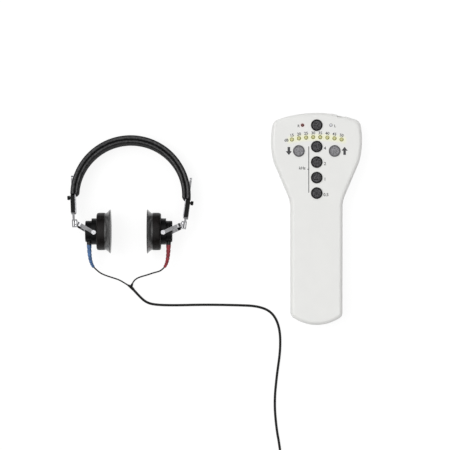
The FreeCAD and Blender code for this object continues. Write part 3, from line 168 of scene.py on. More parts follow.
studio = {
    "frameWidth": 0.5265, "frameX": -0.10706, "frameY": -0.00714,
    "sharpHeight": 0.026, "cameraHeight": 3.2, "sensorWidth": 36.0, "clipEnd": 40.0,
    "floorColor": (0.20, 0.20, 0.20), "floorRoughness": 0.9, "floorGlow": 0.84,
    "floorHalf": 8.0, "floorZ": -0.0002,
    "lightFrom": (-0.17, 0.12, 0.978),
    "horizonLight": 0.05, "overheadLight": 1.85, "overheadStart": 0.42,
    # small soft boxes: direction, strength, and the cosines of their faint and full edges
    "softBoxes": [
        ((-0.39, 0.13, 0.912), 4.0, 0.972, 0.992),
        ((-0.87, 0.17, 0.46), 0.6, 0.960, 0.988)],
    # the unlit part of the ceiling that polished level faces mirror, with the same cosines
    "darkCeiling": (0.0, 0.232, 0.973), "darkShare": 0.72, "darkFaint": 0.976, "darkFull": 0.989,
}


def setUpCamera():
    data = bpy.data.cameras.new("camera")
    data.sensor_width = studio["sensorWidth"]
    data.lens = data.sensor_width * studio["cameraHeight"] / studio["frameWidth"]
    data.clip_end = studio["clipEnd"]
    camera = bpy.data.objects.new("camera", data)
    height = studio["sharpHeight"] + studio["cameraHeight"]
    camera.location = (studio["frameX"], studio["frameY"], height)
    bpy.context.scene.collection.objects.link(camera)
    bpy.context.scene.camera = camera


def setUpLight():
    world = bpy.data.worlds.new("studioWorld")
    world.use_nodes = True
    sky = Shading(world.node_tree)
    way = sky.node("ShaderNodeTexCoord", out="Generated")

    def towards(direction, faint, full):
        return sky.fade(sky.vectorMath("DOT_PRODUCT", way, direction), faint, full)

    overhead = towards(studio["lightFrom"], studio["overheadStart"], 1.0)
    strength = studio["horizonLight"] + overhead * studio["overheadLight"]
    for direction, power, faint, full in studio["softBoxes"]:
        strength = strength + towards(direction, faint, full) * power
    dark = towards(studio["darkCeiling"], studio["darkFaint"], studio["darkFull"])
    strength = strength * (1 - dark * studio["darkShare"])
    background = world.node_tree.nodes["Background"]
    background.inputs["Color"].default_value = color(1, 1, 1)
    world.node_tree.links.new(strength.socket, background.inputs["Strength"])
    bpy.context.scene.world = world
    bpy.context.scene.view_settings.view_transform = "Standard"


def addFloor():
    half = studio["floorHalf"]
    corners = [(-half, -half, 0), (half, -half, 0), (half, half, 0), (-half, half, 0)]
    data = bpy.data.meshes.new("floor")
    data.from_pydata(corners, [], [(0, 1, 2, 3)])
    floor = bpy.data.objects.new("floor", data)
    floor.location = (studio["frameX"], studio["frameY"], studio["floorZ"])
    bpy.context.scene.collection.objects.link(floor)
    data.materials.append(Finish("floorPaint", {
        "Base Color": color(*studio["floorColor"]), "Roughness": studio["floorRoughness"],
        "Specular IOR Level": 0.0,
        "Emission Color": color(1, 1, 1), "Emission Strength": studio["floorGlow"]}).material)


setUpCamera()
setUpLight()
addFloor()
print("camera, light and table ready")


# directions and places in the headset, read from its joints and nodes

def axisOf(joint):
    found = next(entry for entry in frame["joints"] if entry["name"] == joint)
    return Vector(found["axis"]).normalized()


def earFrame():
    # middle between the two ears: right, towards the crown, and up off the table
    up = axisOf("tilt_right")
    right = Vector((1, 0, 0))
    corners = [*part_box("ear_cushion_right"), *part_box("ear_cushion_left")]
    middle = sum(corners, Vector()) / 4
    return Matrix.Translation(middle) @ Matrix((right, up.cross(right), up)).transposed().to_4x4()


def bandFrame():
    # centre of the headband's arc, which sits slightly turned between the ears
    up = axisOf("tilt_right")
    crown = (axisOf("slide_right") + axisOf("slide_left")).normalized()
    turn = Matrix((crown.cross(up), crown, up)).transposed()
    cover = frame["nodes"]["headband_cover"].data.vertices
    points = [turn.inverted() @ vertex.co for vertex in cover]
    lows = [min(point[axis] for point in points) for axis in range(3)]
    highs = [max(point[axis] for point in points) for axis in range(3)]
    outer = (highs[0] - lows[0]) / 2
    middle = turn @ Vector((lows[0] + outer, highs[1] - outer, (lows[2] + highs[2]) / 2))
    return Matrix.Translation(middle) @ turn.to_4x4()


earToRow = earFrame()
bandToRow = bandFrame()


def centerOf(node):
    low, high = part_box(node)
    return (low + high) / 2


def pointsIn(node, toRow):
    toOwn = toRow.inverted()
    return [toOwn @ vertex.co for vertex in frame["nodes"][node].data.vertices]


# finishes

caseSettings = {
    "base": (0.765, 0.765, 0.748), "shade": (0.750, 0.750, 0.734), "roughness": 0.40,
    "patchScale": 45.0, "patchLow": 0.35, "patchHigh": 0.65, "glossSpread": 0.08,
    "grainScale": 2200.0, "grainDepth": 0.00003,
    "partingHalf": 0.00012, "partingColor": (0.12, 0.12, 0.12), "partingShare": 0.8,
    # painted glow of the lamps on the case, round the lamp row and the red lamp, on the top face only
    "faceDepth": 0.0010, "faceMargin": 0.0005,
    "rowRadius": 0.156, "rowTopY": 0.0954, "rowHalf": 0.0312, "paintedRowGlow": (0.84, 0.84, 0.53),
    "glowStart": 0.0010, "glowEnd": 0.0060, "glowShare": 0.7,
    "paintedRedGlow": (0.76, 0.56, 0.54), "redEnd": 0.0040,
}


def casePlastic():
    own = caseSettings
    partingZ, faceZ = [corner.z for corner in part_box("front_housing")]
    finish = Finish("casePlastic", {"Roughness": own["roughness"]})
    cloud = finish.patches(own["patchScale"], own["patchLow"], own["patchHigh"])
    paint = finish.mix(cloud, color(*own["shade"]), color(*own["base"]))
    onTop = finish.fade(finish.along("Z"), faceZ - own["faceDepth"], faceZ - own["faceMargin"])
    fromRow = abs(finish.distanceFrom(0, own["rowTopY"] - own["rowRadius"]) - own["rowRadius"])
    nearRow = 1 - finish.fade(fromRow, own["glowStart"], own["glowEnd"])
    rowEnd = own["rowHalf"] + own["glowEnd"] - own["glowStart"]
    inRow = 1 - finish.fade(abs(finish.along("X")), own["rowHalf"], rowEnd)
    # painted glow round the lamp row
    paint = finish.mix(nearRow * inRow * onTop * own["glowShare"], paint, color(*own["paintedRowGlow"]))
    fromRed = finish.distanceFrom(*centerOf("ear_led_red").xy)
    nearRed = 1 - finish.fade(fromRed, own["glowStart"], own["redEnd"])
    # painted glow round the red lamp
    paint = finish.mix(nearRed * onTop * own["glowShare"], paint, color(*own["paintedRedGlow"]))
    fromParting = abs(finish.along("Z") - partingZ)
    parting = 1 - finish.fade(fromParting, own["partingHalf"], own["partingHalf"] * 2)
    paint = finish.mix(parting * own["partingShare"], paint, color(*own["partingColor"]))
    finish.feed("Base Color", paint)
    finish.feedGloss(cloud, own["roughness"], own["glossSpread"])
    finish.feedGrain(own["grainScale"], own["grainDepth"])
    return finish.material


keySettings = {
    "ringStart": 0.0046, "ringEnd": 0.0060,
    "rimRoughness": 0.85, "topRoughness": 0.55, "specular": 0.2,
    "speckleScale": 640.0, "speckleLow": 0.40, "speckleHigh": 0.60,
    "bump": 0.5, "bumpDepth": 0.00012,
    # rim is the painted shade of the rounded edge; high carries the painted highlight of the top as well as its
    # speckle
    "black": {
        "nodes": ["button_ear", "button_4khz", "button_2khz", "button_1khz", "button_500hz"],
        "rim": (0.003, 0.003, 0.003), "low": (0.012, 0.012, 0.013), "high": (0.086, 0.084, 0.089)},
    "grey": {
        "nodes": ["button_level_down", "button_level_up"],
        "rim": (0.110, 0.109, 0.115), "low": (0.150, 0.148, 0.155), "high": (0.300, 0.297, 0.311)},
}


def keyRubber(name, kind):
    # a dark rim of painted shade round a coarse, mottled top painted lighter with a painted highlight, by distance
    # from the nearest key's middle
    own, paints = keySettings, keySettings[kind]
    finish = Finish(name, {
        "Roughness": own["topRoughness"], "Specular IOR Level": own["specular"]})
    nearest = None
    for node in paints["nodes"]:
        away = finish.distanceFrom(centerOf(node).x, centerOf(node).y)
        nearest = away if nearest is None else away.combine("MINIMUM", nearest, away)
    paintedLitTop = 1 - finish.fade(nearest, own["ringStart"], own["ringEnd"])
    speckle = finish.patches(own["speckleScale"], own["speckleLow"], own["speckleHigh"], 2.0)
    mottled = finish.mix(speckle, color(*paints["low"]), color(*paints["high"]))
    finish.feed("Base Color", finish.mix(paintedLitTop, color(*paints["rim"]), mottled))
    gloss = paintedLitTop * (own["rimRoughness"] - own["topRoughness"])
    finish.feed("Roughness", own["rimRoughness"] - gloss)
    finish.feed("Normal", finish.bump(speckle * paintedLitTop, own["bump"], own["bumpDepth"]))
    return finish.material


lampSettings = {
    "bevelDrop": 0.0005, "topMargin": 0.00004,
    "roughness": 0.22, "coat": 0.3, "coatRoughness": 0.1, "milkScale": 1500.0, "milkShare": 0.3,
    # colour of the rim, colour of the middle (on the lit lenses the painted light of the chip), and how strongly
    # the lens shines
    "green": ((0.34, 0.34, 0.10), (0.54, 0.52, 0.25), 0.04),
    "red": ((0.055, 0.006, 0.007), (0.20, 0.045, 0.045), 0.02),
    # the clear lens is unlit, so its shine is a painted glow
    "clear": ((0.40, 0.40, 0.42), (0.74, 0.75, 0.77), 0.03),
}


def lampLens(name, kind):
    # a moulded lens: deep colour in its bevel, lighter on the flat top, where the lit lenses get the painted light
    # of the chip shining through
    own = lampSettings
    rim, middle, glow = own[kind]
    finish = Finish(name, {
        "Roughness": own["roughness"], "Emission Strength": glow,
        "Coat Weight": own["coat"], "Coat Roughness": own["coatRoughness"]})
    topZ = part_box("level_leds")[1].z
    flat = finish.fade(finish.along("Z"), topZ - own["bevelDrop"], topZ - own["topMargin"])
    milky = finish.patches(own["milkScale"], detail=1.0) * own["milkShare"] + (1 - own["milkShare"])
    tint = finish.mix(flat * milky, color(*rim), color(*middle))
    finish.feed("Base Color", tint)
    finish.feed("Emission Color", tint)
    return finish.material


mouldedSettings = {"patchScale": 150.0, "variety": 0.12}


def mouldedFinish(name, base, roughness, grain, depth, specular=0.3):
    # fine grain in the bump, slight change of colour and gloss over it
    variety = mouldedSettings["variety"]
    finish = Finish(name, {"Roughness": roughness, "Specular IOR Level": specular})
    cloud = finish.patches(mouldedSettings["patchScale"])
    paint = finish.mix(cloud, color(*base, 1 - variety), color(*base, 1 + variety))
    finish.feed("Base Color", paint)
    finish.feedGloss(cloud, roughness)
    finish.feedGrain(grain, depth)
    return finish.material


metalSettings = {
    "detail": 4.0, "tarnishStart": 0.4, "tarnishFull": 0.7, "glossSpread": 0.10,
    "bump": 0.10, "bumpDepth": 0.00006,
}


def metalFinish(name, base, roughness, scratch, tarnish=0.10):
    own = metalSettings
    finish = Finish(name, {"Metallic": 1.0, "Roughness": roughness})
    streaks = finish.noise(scratch, own["detail"])
    dull = finish.fade(streaks, own["tarnishStart"], own["tarnishFull"])
    finish.feed("Base Color", finish.mix(dull, color(*base), color(*base, 1 - tarnish)))
    finish.feedGloss(streaks, roughness, own["glossSpread"])
    finish.feed("Normal", finish.bump(streaks, own["bump"], own["bumpDepth"]))
    return finish.material


leatherSettings = {
    "low": (0.002, 0.002, 0.0022), "high": (0.011, 0.011, 0.012),
    "paintedHighlightLow": (0.008, 0.008, 0.0085), "paintedHighlightHigh": (0.048, 0.048, 0.050),
    "patchScale": 420.0, "patchLow": 0.35, "patchHigh": 0.68, "glossSpread": 0.12,
    "grainScale": 1300.0, "grainShare": 0.7, "patchShare": 0.9, "bump": 0.35, "bumpDepth": 0.00016,
    # satin on the broad sides, smooth round the edges with a painted highlight along them, by height off the
    # band's middle
    "sideRoughness": 0.80, "edgeRoughness": 0.28, "edgeStart": 0.0120, "edgeFull": 0.0130,
    "specular": 0.20, "coat": 0.30, "coatRoughness": 0.24,
}


def bandLeather():
    own = leatherSettings
    finish = Finish("bandLeather", {
        "Specular IOR Level": own["specular"], "Coat Roughness": own["coatRoughness"]})
    patches = finish.patches(own["patchScale"], own["patchLow"], own["patchHigh"])
    up = bandToRow.to_3x3().col[2]
    height = finish.vectorMath("DOT_PRODUCT", finish.place, up) - up.dot(bandToRow.translation)
    # painted highlight along the crest of each roll, where the leather is also smoother and coated
    paintedSheen = finish.fade(abs(height), own["edgeStart"], own["edgeFull"])
    plainLeather = finish.mix(patches, color(*own["low"]), color(*own["high"]))
    paintedHighlight = finish.mix(patches, color(*own["paintedHighlightLow"]), color(*own["paintedHighlightHigh"]))
    finish.feed("Base Color", finish.mix(paintedSheen, plainLeather, paintedHighlight))
    gloss = paintedSheen * (own["sideRoughness"] - own["edgeRoughness"])
    finish.feed("Roughness", own["sideRoughness"] - gloss + patches * own["glossSpread"])
    finish.feed("Coat Weight", paintedSheen * own["coat"])
    grain = finish.cells(own["grainScale"]) * own["grainShare"] + patches * own["patchShare"]
    finish.feed("Normal", finish.bump(grain, own["bump"], own["bumpDepth"]))
    return finish.material


cushionSkin = {
    "low": (0.0038, 0.0028, 0.0027), "high": (0.0080, 0.0060, 0.0058),
    "roughness": 0.42, "specular": 0.16,
    "patchScale": 260.0, "grainScale": 1200.0, "grainDepth": 0.00005,
    # the flared rim is smooth and painted lighter as a painted sheen, by distance from the cushion's face towards
    # the ear
    "coat": 1.0, "coatRoughness": 0.22, "rimEnd": 0.0060, "bodyStart": 0.0074,
    "paintedSheenLow": (0.026, 0.0255, 0.0255), "paintedSheenHigh": (0.050, 0.049, 0.049),
}


def cushionRubber():
    own = cushionSkin
    finish = Finish("cushionRubber", {
        "Specular IOR Level": own["specular"], "Coat Roughness": own["coatRoughness"]})
    middleX = earToRow.translation.x
    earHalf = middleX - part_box("ear_cushion_left")[1].x
    cloud = finish.patches(own["patchScale"])
    outward = abs(finish.along("X") - middleX) - earHalf
    rim = 1 - finish.fade(outward, own["rimEnd"], own["bodyStart"])
    body = finish.mix(cloud, color(*own["low"]), color(*own["high"]))
    # painted sheen colour of the flared rim
    paintedSheen = finish.mix(cloud, color(*own["paintedSheenLow"]), color(*own["paintedSheenHigh"]))
    finish.feed("Base Color", finish.mix(rim, body, paintedSheen))
    finish.feed("Coat Weight", rim * own["coat"])
    finish.feedGloss(cloud, own["roughness"])
    finish.feedGrain(own["grainScale"], own["grainDepth"])
    return finish.material


reliefSkin = {
    "rootOut": 0.0464352, "rootDown": 0.0104, "roughness": 0.42, "specular": 0.3,
    "blue": (0.060, 0.128, 0.270), "red": (0.225, 0.022, 0.031), "foot": (0.006, 0.006, 0.006),
    "footEnd": 0.0058, "colorStart": 0.0067,
    "patchScale": 300.0, "patchDark": 0.72, "patchLight": 1.35,
    "grainScale": 1200.0, "grainDepth": 0.00004,
}


def reliefRoot(side):
    sign = 1 if side == "right" else -1
    return earToRow @ Vector((sign * reliefSkin["rootOut"], -reliefSkin["rootDown"], 0))


def reliefRubber(name, side, base):
    # the coloured sleeve comes out of a short black foot
    own = reliefSkin
    finish = Finish(name, {"Specular IOR Level": own["specular"]})
    cloud = finish.patches(own["patchScale"])
    sleeve = finish.mix(cloud, color(*base, own["patchDark"]), color(*base, own["patchLight"]))
    fromRoot = finish.vectorMath("DISTANCE", finish.place, tuple(reliefRoot(side)))
    outside = finish.fade(fromRoot, own["footEnd"], own["colorStart"])
    finish.feed("Base Color", finish.mix(outside, color(*own["foot"]), sleeve))
    finish.feedGloss(cloud, own["roughness"])
    finish.feedGrain(own["grainScale"], own["grainDepth"])
    return finish.material


looks = {
    "case_plastic": casePlastic(),
    "key_black": keyRubber("keyBlack", "black"),
    "key_grey": keyRubber("keyGrey", "grey"),
    "led_green": lampLens("lampGreen", "green"),
    "led_red": lampLens("lampRed", "red"),
    "led_blue": lampLens("lampClear", "clear"),      # unlit
    "board_green": mouldedFinish(
        "boardGreen", (0.03, 0.20, 0.08),
        roughness=0.35, grain=1500.0, depth=0.00003, specular=0.5),
    "inner_black_plastic": mouldedFinish(
        "innerBlackPlastic", (0.02, 0.02, 0.02), roughness=0.5, grain=1500.0, depth=0.00003),
    "screw_steel": metalFinish("screwSteel", (0.60, 0.60, 0.62), roughness=0.30, scratch=500.0),
    "cell_metal": metalFinish("cellMetal", (0.28, 0.29, 0.31), roughness=0.35, scratch=300.0),
    "band_leather": bandLeather(),
    "spring_steel": metalFinish("springSteel", (0.42, 0.42, 0.44), roughness=0.30, scratch=400.0),
    "headset_black_plastic": mouldedFinish(
        "headsetBlackPlastic", (0.0045, 0.0045, 0.0048),
        roughness=0.36, grain=1600.0, depth=0.00004, specular=0.12),
    "chrome": metalFinish(
        "chromePlate", (0.56, 0.56, 0.575), roughness=0.10, scratch=260.0, tarnish=0.30),
    "driver_steel": metalFinish("driverSteel", (0.25, 0.25, 0.26), roughness=0.40, scratch=300.0),
    "cushion_rubber": cushionRubber(),
    "relief_blue": reliefRubber("reliefBlue", "left", reliefSkin["blue"]),
    "relief_red": reliefRubber("reliefRed", "right", reliefSkin["red"]),
    "cord_black": mouldedFinish(
        "cordBlack", (0.006, 0.0057, 0.0057),
        roughness=0.45, grain=1400.0, depth=0.00005, specular=0.15),
    "plug_metal": metalFinish("plugMetal", (0.72, 0.72, 0.72), roughness=0.18, scratch=300.0),
}
slotOf = {part["node"]: part["material_slot"] for part in frame["record"]["subparts"]}


def dress(piece, slot, look=None):
    piece.data.materials.clear()
    piece.data.materials.append(look or looks[slot])


def dressCadNodes():
    for name, node in frame["nodes"].items():
        for index in range(max(1, len(node.material_slots))):
            if len(node.data.materials) <= index:
                node.data.materials.append(None)
            node.material_slots[index].material = looks[slotOf[name]]


dressCadNodes()
print("finishes ready")


# meshes

def addMesh(name, vertices, faces, slot):
    data = bpy.data.meshes.new(name)
    data.from_pydata([tuple(point) for point in vertices], [], faces)
    shell = bmesh.new()
    shell.from_mesh(data)
    bmesh.ops.recalc_face_normals(shell, faces=shell.faces)
    shell.to_mesh(data)
    shell.free()
    data.shade_smooth()
    piece = bpy.data.objects.new(name, data)
    bpy.context.scene.collection.objects.link(piece)
    dress(piece, slot)
    return piece


def loft(rings, joined=False):
    # faces between rings of equal count, each ring closed on itself
    # joined brings the last ring to the first, and otherwise both ends are capped
    sides, count = len(rings[0]), len(rings)
    vertices = [point for ring in rings for point in ring]
    faces = []
    for ring in range(count if joined else count - 1):
        near, far = ring * sides, (ring + 1) % count * sides
        for side in range(sides):
            following = (side + 1) % sides
            faces.append((near + side, near + following, far + following, far + side))
    if not joined:
        faces.append(tuple(reversed(range(sides))))
        faces.append(tuple(range((count - 1) * sides, count * sides)))
    return vertices, faces


def tube(points, radiusAt, sides):
    # a capped round tube along points, with its sections carried along without twist
    count = len(points)
    angles = [2 * math.pi * side / sides for side in range(sides)]
    across = (points[1] - points[0]).normalized().orthogonal().normalized()
    rings = []
    for index, point in enumerate(points):
        way = (points[min(index + 1, count - 1)] - points[max(index - 1, 0)]).normalized()
        across = (across - way * across.dot(way)).normalized()
        other = way.cross(across)
        radius = radiusAt(index / (count - 1))
        rings.append([point + (across * math.cos(angle) + other * math.sin(angle)) * radius
                      for angle in angles])
    return loft(rings)


# cords, first of all pieces: routes lie where the CAD tubes lie

cordSettings = {
    "diameter": 0.0029, "length": 1.5, "curveSteps": 8, "roundSteps": 4,
    "legDiameter": 0.0017, "legFree": 0.0315, "legSides": 12,
    "coilCenter": (-0.063, -0.305), "coilRadii": (0.0220, 0.0190, 0.0160, 0.0130),
    "coilHeights": (0.0024, 0.0054, 0.0084), "coilStart": 24.0, "topTurns": 2,
    "pointsPerTurn": 14, "crossShare": 0.3,      # each turn moves over to the next in its last part
}
legRoutes = {
    "right": [
        (-0.1777, -0.0561, 0.0195), (-0.1816, -0.0609, 0.0136), (-0.1906, -0.0632, 0.0062),
        (-0.2000, -0.0664, 0.0019), (-0.2082, -0.0686, 0.0009), (-0.2144, -0.0722, 0.0012),
        (-0.21643, -0.07666, 0.00215)],
    "left": [
        (-0.2613, -0.0561, 0.0195), (-0.2556, -0.0626, 0.0129), (-0.2476, -0.0666, 0.0058),
        (-0.2390, -0.0694, 0.0017), (-0.2314, -0.0720, 0.0009), (-0.2259, -0.0753, 0.0012),
        (-0.22109, -0.07829, 0.00215)],
}
mainRoute = [
    (-0.21529, -0.08305, 0.00196), (-0.2072, -0.0922, 0.0015), (-0.1994, -0.0986, 0.0015),
    (-0.1896, -0.1012, 0.0015), (-0.1680, -0.1019, 0.0015), (-0.1310, -0.1010, 0.0015),
    (-0.0940, -0.1016, 0.0015), (-0.0680, -0.1026, 0.0015), (-0.0510, -0.1100, 0.0015),
    (-0.0424, -0.1280, 0.0015), (-0.0416, -0.1540, 0.0015), (-0.0460, -0.1840, 0.0015),
    (-0.0490, -0.2160, 0.0015), (-0.0466, -0.2460, 0.0015), (-0.0426, -0.2680, 0.0015),
    (-0.0414, -0.2820, 0.0018),
]
tailRoute = [
    (-0.0435, -0.3000, 0.0114), (-0.0431, -0.3095, 0.0114), (-0.0466, -0.3186, 0.0116),
    (-0.0550, -0.3252, 0.0124), (-0.0630, -0.3224, 0.01355), (-0.0630, -0.3140, 0.01355),
]


def coilPoints():
    # turns go round clockwise: inward on the bottom, outward over them, and inward again on top
    own = cordSettings
    radii, steps = own["coilRadii"], own["pointsPerTurn"]
    low, middle, top = own["coilHeights"]
    turns = [(radius, low) for radius in radii] + [(radius, middle) for radius in reversed(radii)]
    turns += [(radius, top) for radius in radii[:own["topTurns"]]]
    centerX, centerY = own["coilCenter"]
    points = []
    for index, (radius, height) in enumerate(turns):
        nextRadius, nextHeight = turns[min(index + 1, len(turns) - 1)]
        for step in range(steps):
            share = max(0.0, step / steps - (1 - own["crossShare"])) / own["crossShare"]
            here = radius + (nextRadius - radius) * share
            lift = height + (nextHeight - height) * share
            angle = math.radians(own["coilStart"] - 360 * (step / steps))
            x, y = centerX + here * math.cos(angle), centerY + here * math.sin(angle)
            points.append((x, y, lift))
    return points


def splineThrough(name, points, radius=0.0):
    data = bpy.data.curves.new(name, "CURVE")
    data.dimensions = "3D"
    data.resolution_u = cordSettings["curveSteps"]
    data.bevel_depth = radius
    data.bevel_resolution = cordSettings["roundSteps"]
    data.use_fill_caps = True
    spline = data.splines.new("NURBS")
    spline.points.add(len(points) - 1)
    for point, place in zip(spline.points, points):
        point.co = (*place, 1.0)
    spline.order_u = 3
    spline.use_endpoint_u = True
    curve = bpy.data.objects.new(name, data)
    bpy.context.scene.collection.objects.link(curve)
    return curve


def pointsOf(route):
    # the smooth line of a route, read from its spline
    helper = splineThrough("helper", route)
    graph = bpy.context.evaluated_depsgraph_get()
    line = bpy.data.meshes.new_from_object(helper.evaluated_get(graph))
    points = [vertex.co.copy() for vertex in line.vertices]
    bpy.data.objects.remove(helper)
    bpy.data.meshes.remove(line)
    return points


def makeMainCord():
    route = mainRoute + coilPoints() + tailRoute
    cord = splineThrough("cordMain", route, cordSettings["diameter"] / 2)
    dress(cord, "cord_black")
    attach(cord, "headset_frame")
    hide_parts("cord_main", "cord_coil", "cord_tail")


def lengthOf(points):
    return sum((after - before).length for before, after in zip(points, points[1:]))


def makeLegs():
    # each thin lead is made in two stretches
    radius = cordSettings["legDiameter"] / 2

    def addLead(name, points):
        made = tube(points, lambda share: radius, cordSettings["legSides"])
        return addMesh(name, *made, "cord_black")

    for side, route in legRoutes.items():
        points = pointsOf(route)
        total = lengthOf(points)
        meet = 0
        while lengthOf(points[:meet + 2]) < total - cordSettings["legFree"]:
            meet += 1
        upper = addLead(f"leadUpper_{side}", points[:meet + 1])
        lower = addLead(f"leadLower_{side}", points[meet:])
        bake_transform(upper)
        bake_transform(lower)
        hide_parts(f"cord_leg_{side}")


makeMainCord()
makeLegs()
print("cords ready")


# headband: an outer and an inner padded roll with the steel strip between them, sewn at both edges

bandSettings = {
    "steps": 200, "endCrowding": 0.045,      # sections stand closer at the two ends
    "edgePoints": 10, "crownSteps": 8, "crown": 0.0004,
    "seamGap": 0.00002, "stripGap": 0.00006,
    "stripSide": (0.0087, 0.0082, 0.0040),   # heights off the middle: beside, at and on the strip
    "endRound": 0.0018, "endShrink": 0.12, "endSquash": 0.35,
    "slantRun": 0.0036, "slantRise": 0.0024,
    "wrinkles": 67, "wrinkleBeat": 23, "wrinkleDepth": 0.00013, "creaseRate": 400,
    "plainDepth": 0.001,                     # no wrinkles this close to the seam
    "stitchPitch": 0.0032, "stitchLength": 0.0021, "stitchInset": 0.0015,
    "stitchRadius": 0.00026, "stitchTip": 0.6, "stitchSides": 6,
}


def bandSizes():
    sizes = {}
    for roll in ("headband_cover", "headband_pad"):
        points = pointsIn(roll, bandToRow)
        radii = [math.hypot(point.x, point.y) for point in points]
        sizes[roll] = {
            "inner": min(radii), "outer": max(radii), "half": max(point.z for point in points),
            "overrun": math.asin(-min(point.y for point in points) / max(radii)),
        }
    return sizes


def aroundBand(radius, angle, z):
    return bandToRow @ Vector((radius * math.cos(angle), radius * math.sin(angle), z))


def rollSection(free, face, seam, half, shrink):
    # radius and height round one section
    # crowned on the free side, with full round edges, and flat against the strip
    own = bandSettings
    crown = math.copysign(own["crown"], free - seam)
    reach = (free - crown - seam) / 2
    middle = (free - crown + seam) / 2
    turn = half - abs(reach)
    section = []
    for step in range(own["crownSteps"] + 1):
        z = turn * (2 * step / own["crownSteps"] - 1)
        section.append((free - crown * (z / turn) ** 2, z))
    angles = [math.pi * step / own["edgePoints"] for step in range(1, own["edgePoints"])]
    edge = [(reach * math.cos(angle), turn + abs(reach) * math.sin(angle)) for angle in angles]
    section += [(middle + across, z) for across, z in edge]
    near = [(face if z <= own["stripSide"][1] else seam, z) for z in (turn, *own["stripSide"])]
    section += near + [(face, 0.0)] + [(radius, -z) for radius, z in reversed(near)]
    section += [(middle - across, -z) for across, z in edge]
    squash = 1 - (1 - shrink) * own["endSquash"]
    return [(middle + (radius - middle) * shrink, z * squash) for radius, z in section]


def makeBandRoll(name, node, sizes, phase):
    own, measures = bandSettings, sizes[node]
    cover, pad = sizes["headband_cover"], sizes["headband_pad"]
    isCover = node == "headband_cover"
    seam = (cover["inner"] + pad["outer"]) / 2 + own["seamGap"] * (1 if isCover else -1)
    face = cover["inner"] + own["stripGap"] if isCover else pad["outer"] - own["stripGap"]
    free = cover["outer"] if isCover else pad["inner"]
    low, high = -measures["overrun"], math.pi + measures["overrun"]
    rings = []
    for step in range(own["steps"] + 1):
        share = step / own["steps"]
        share -= math.sin(4 * math.pi * share) * own["endCrowding"]
        angle = low + (high - low) * share
        fromEnd = min(angle - low, high - angle) * seam
        part = min(1.0, fromEnd / own["endRound"])
        shrink = own["endShrink"] + (1 - own["endShrink"]) * math.sqrt(1 - (1 - part) ** 2)
        slant = 0.0 if isCover else max(0.0, 1 - fromEnd / own["slantRun"]) * own["slantRise"]
        wrinkle = math.sin(angle * own["wrinkles"] + phase)
        wrinkle *= math.sin(angle * own["wrinkleBeat"] + 2 * phase)
        depth = abs(wrinkle) * own["wrinkleDepth"]
        ring = []
        for radius, z in rollSection(free + slant, face, seam, measures["half"], shrink):
            if abs(radius - seam) > own["plainDepth"]:
                crease = depth * math.cos(z * own["creaseRate"] + phase) ** 2
                radius -= math.copysign(crease, free - seam)
            ring.append(aroundBand(radius, angle, z))
        rings.append(ring)
    piece = addMesh(name, *loft(rings), "band_leather")
    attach(piece, "headset_frame")
    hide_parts(node)


def makeBandStitches(sizes):
    # short capsules of thread along both edges, where the two rolls meet
    own = bandSettings
    cover, pad = sizes["headband_cover"], sizes["headband_pad"]
    radius = (cover["inner"] + pad["outer"]) / 2
    span = math.pi + 2 * pad["overrun"]
    count = int(radius * span / own["stitchPitch"])
    reach = own["stitchLength"] / radius / 2

    def threadAt(share):
        return own["stitchRadius"] * (1 if share == 0.5 else own["stitchTip"])

    vertices, faces = [], []
    for edge in (-1, 1):
        height = edge * (cover["half"] - own["stitchInset"])
        for index in range(2, count - 1):
            angle = -pad["overrun"] + span * index / count
            line = [aroundBand(radius, turned, height)
                    for turned in (angle - reach, angle, angle + reach)]
            made, sides = tube(line, threadAt, own["stitchSides"])
            faces += [tuple(len(vertices) + corner for corner in face) for face in sides]
            vertices += made
    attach(addMesh("bandStitches", vertices, faces, "cord_black"), "headset_frame")


bandMeasures = bandSizes()
makeBandRoll("bandCoverRoll", "headband_cover", bandMeasures, phase=0.0)
makeBandRoll("bandPadRoll", "headband_pad", bandMeasures, phase=2.1)
makeBandStitches(bandMeasures)
print("headband ready")


# ear cushions: turned foam rubber with a thin flared rim

cushionSettings = {
    "sides": 128,
    # distance out from the ear face and radius, in millimetres, from the port over the rim to
    # the back
    "profile": [
        (8.0, 7.9), (6.2, 8.0), (5.3, 8.5), (4.9, 9.6), (4.0, 13.5), (2.4, 19.0), (0.9, 23.4),
        (0.15, 25.0), (0.05, 25.5), (0.35, 25.82), (0.95, 25.72), (1.5, 25.2), (2.0, 24.55),
        (3.0, 23.5), (4.2, 22.6), (5.2, 21.95), (5.9, 21.62), (6.5, 21.70), (7.2, 21.93),
        (9.0, 22.0), (11.5, 22.0), (14.2, 21.92), (15.2, 21.62), (15.9, 21.0), (16.3, 20.1),
        (16.4, 18.8), (16.4, 15.6), (12.0, 15.6), (12.0, 19.8), (9.0, 19.8), (8.0, 19.8)],
    # slight waves of the soft rubber: how many go round, how far they shift per ring, their share
    "unevenness": 0.00008, "waves": [(5, 0.9, 1.0), (11, 1.7, 0.6)],
}


def makeCushion(side):
    own = cushionSettings
    sign = 1 if side == "right" else -1
    face = min(abs(point.x) for point in pointsIn(f"ear_cushion_{side}", earToRow))
    rings = []
    for step in range(own["sides"]):
        angle = 2 * math.pi * step / own["sides"]
        ring = []
        for index, (out, radius) in enumerate(own["profile"]):
            wave = sum(share * math.sin(angle * around + index * shift)
                       for around, shift, share in own["waves"])
            spread = radius * mm - own["unevenness"] * (1 + wave / 2)
            outward = sign * (face + out * mm)
            ring.append(earToRow @ Vector(
                (outward, spread * math.cos(angle), spread * math.sin(angle))))
        rings.append(ring)
    piece = addMesh(f"earCushion_{side}", *loft(rings, joined=True), "cushion_rubber")
    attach(piece, f"earphone_{side}")
    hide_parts(f"ear_cushion_{side}")


for side in ("left", "right"):
    makeCushion(side)
print("cushions ready")


# strain reliefs: ribbed tapered sleeves that droop towards the leads

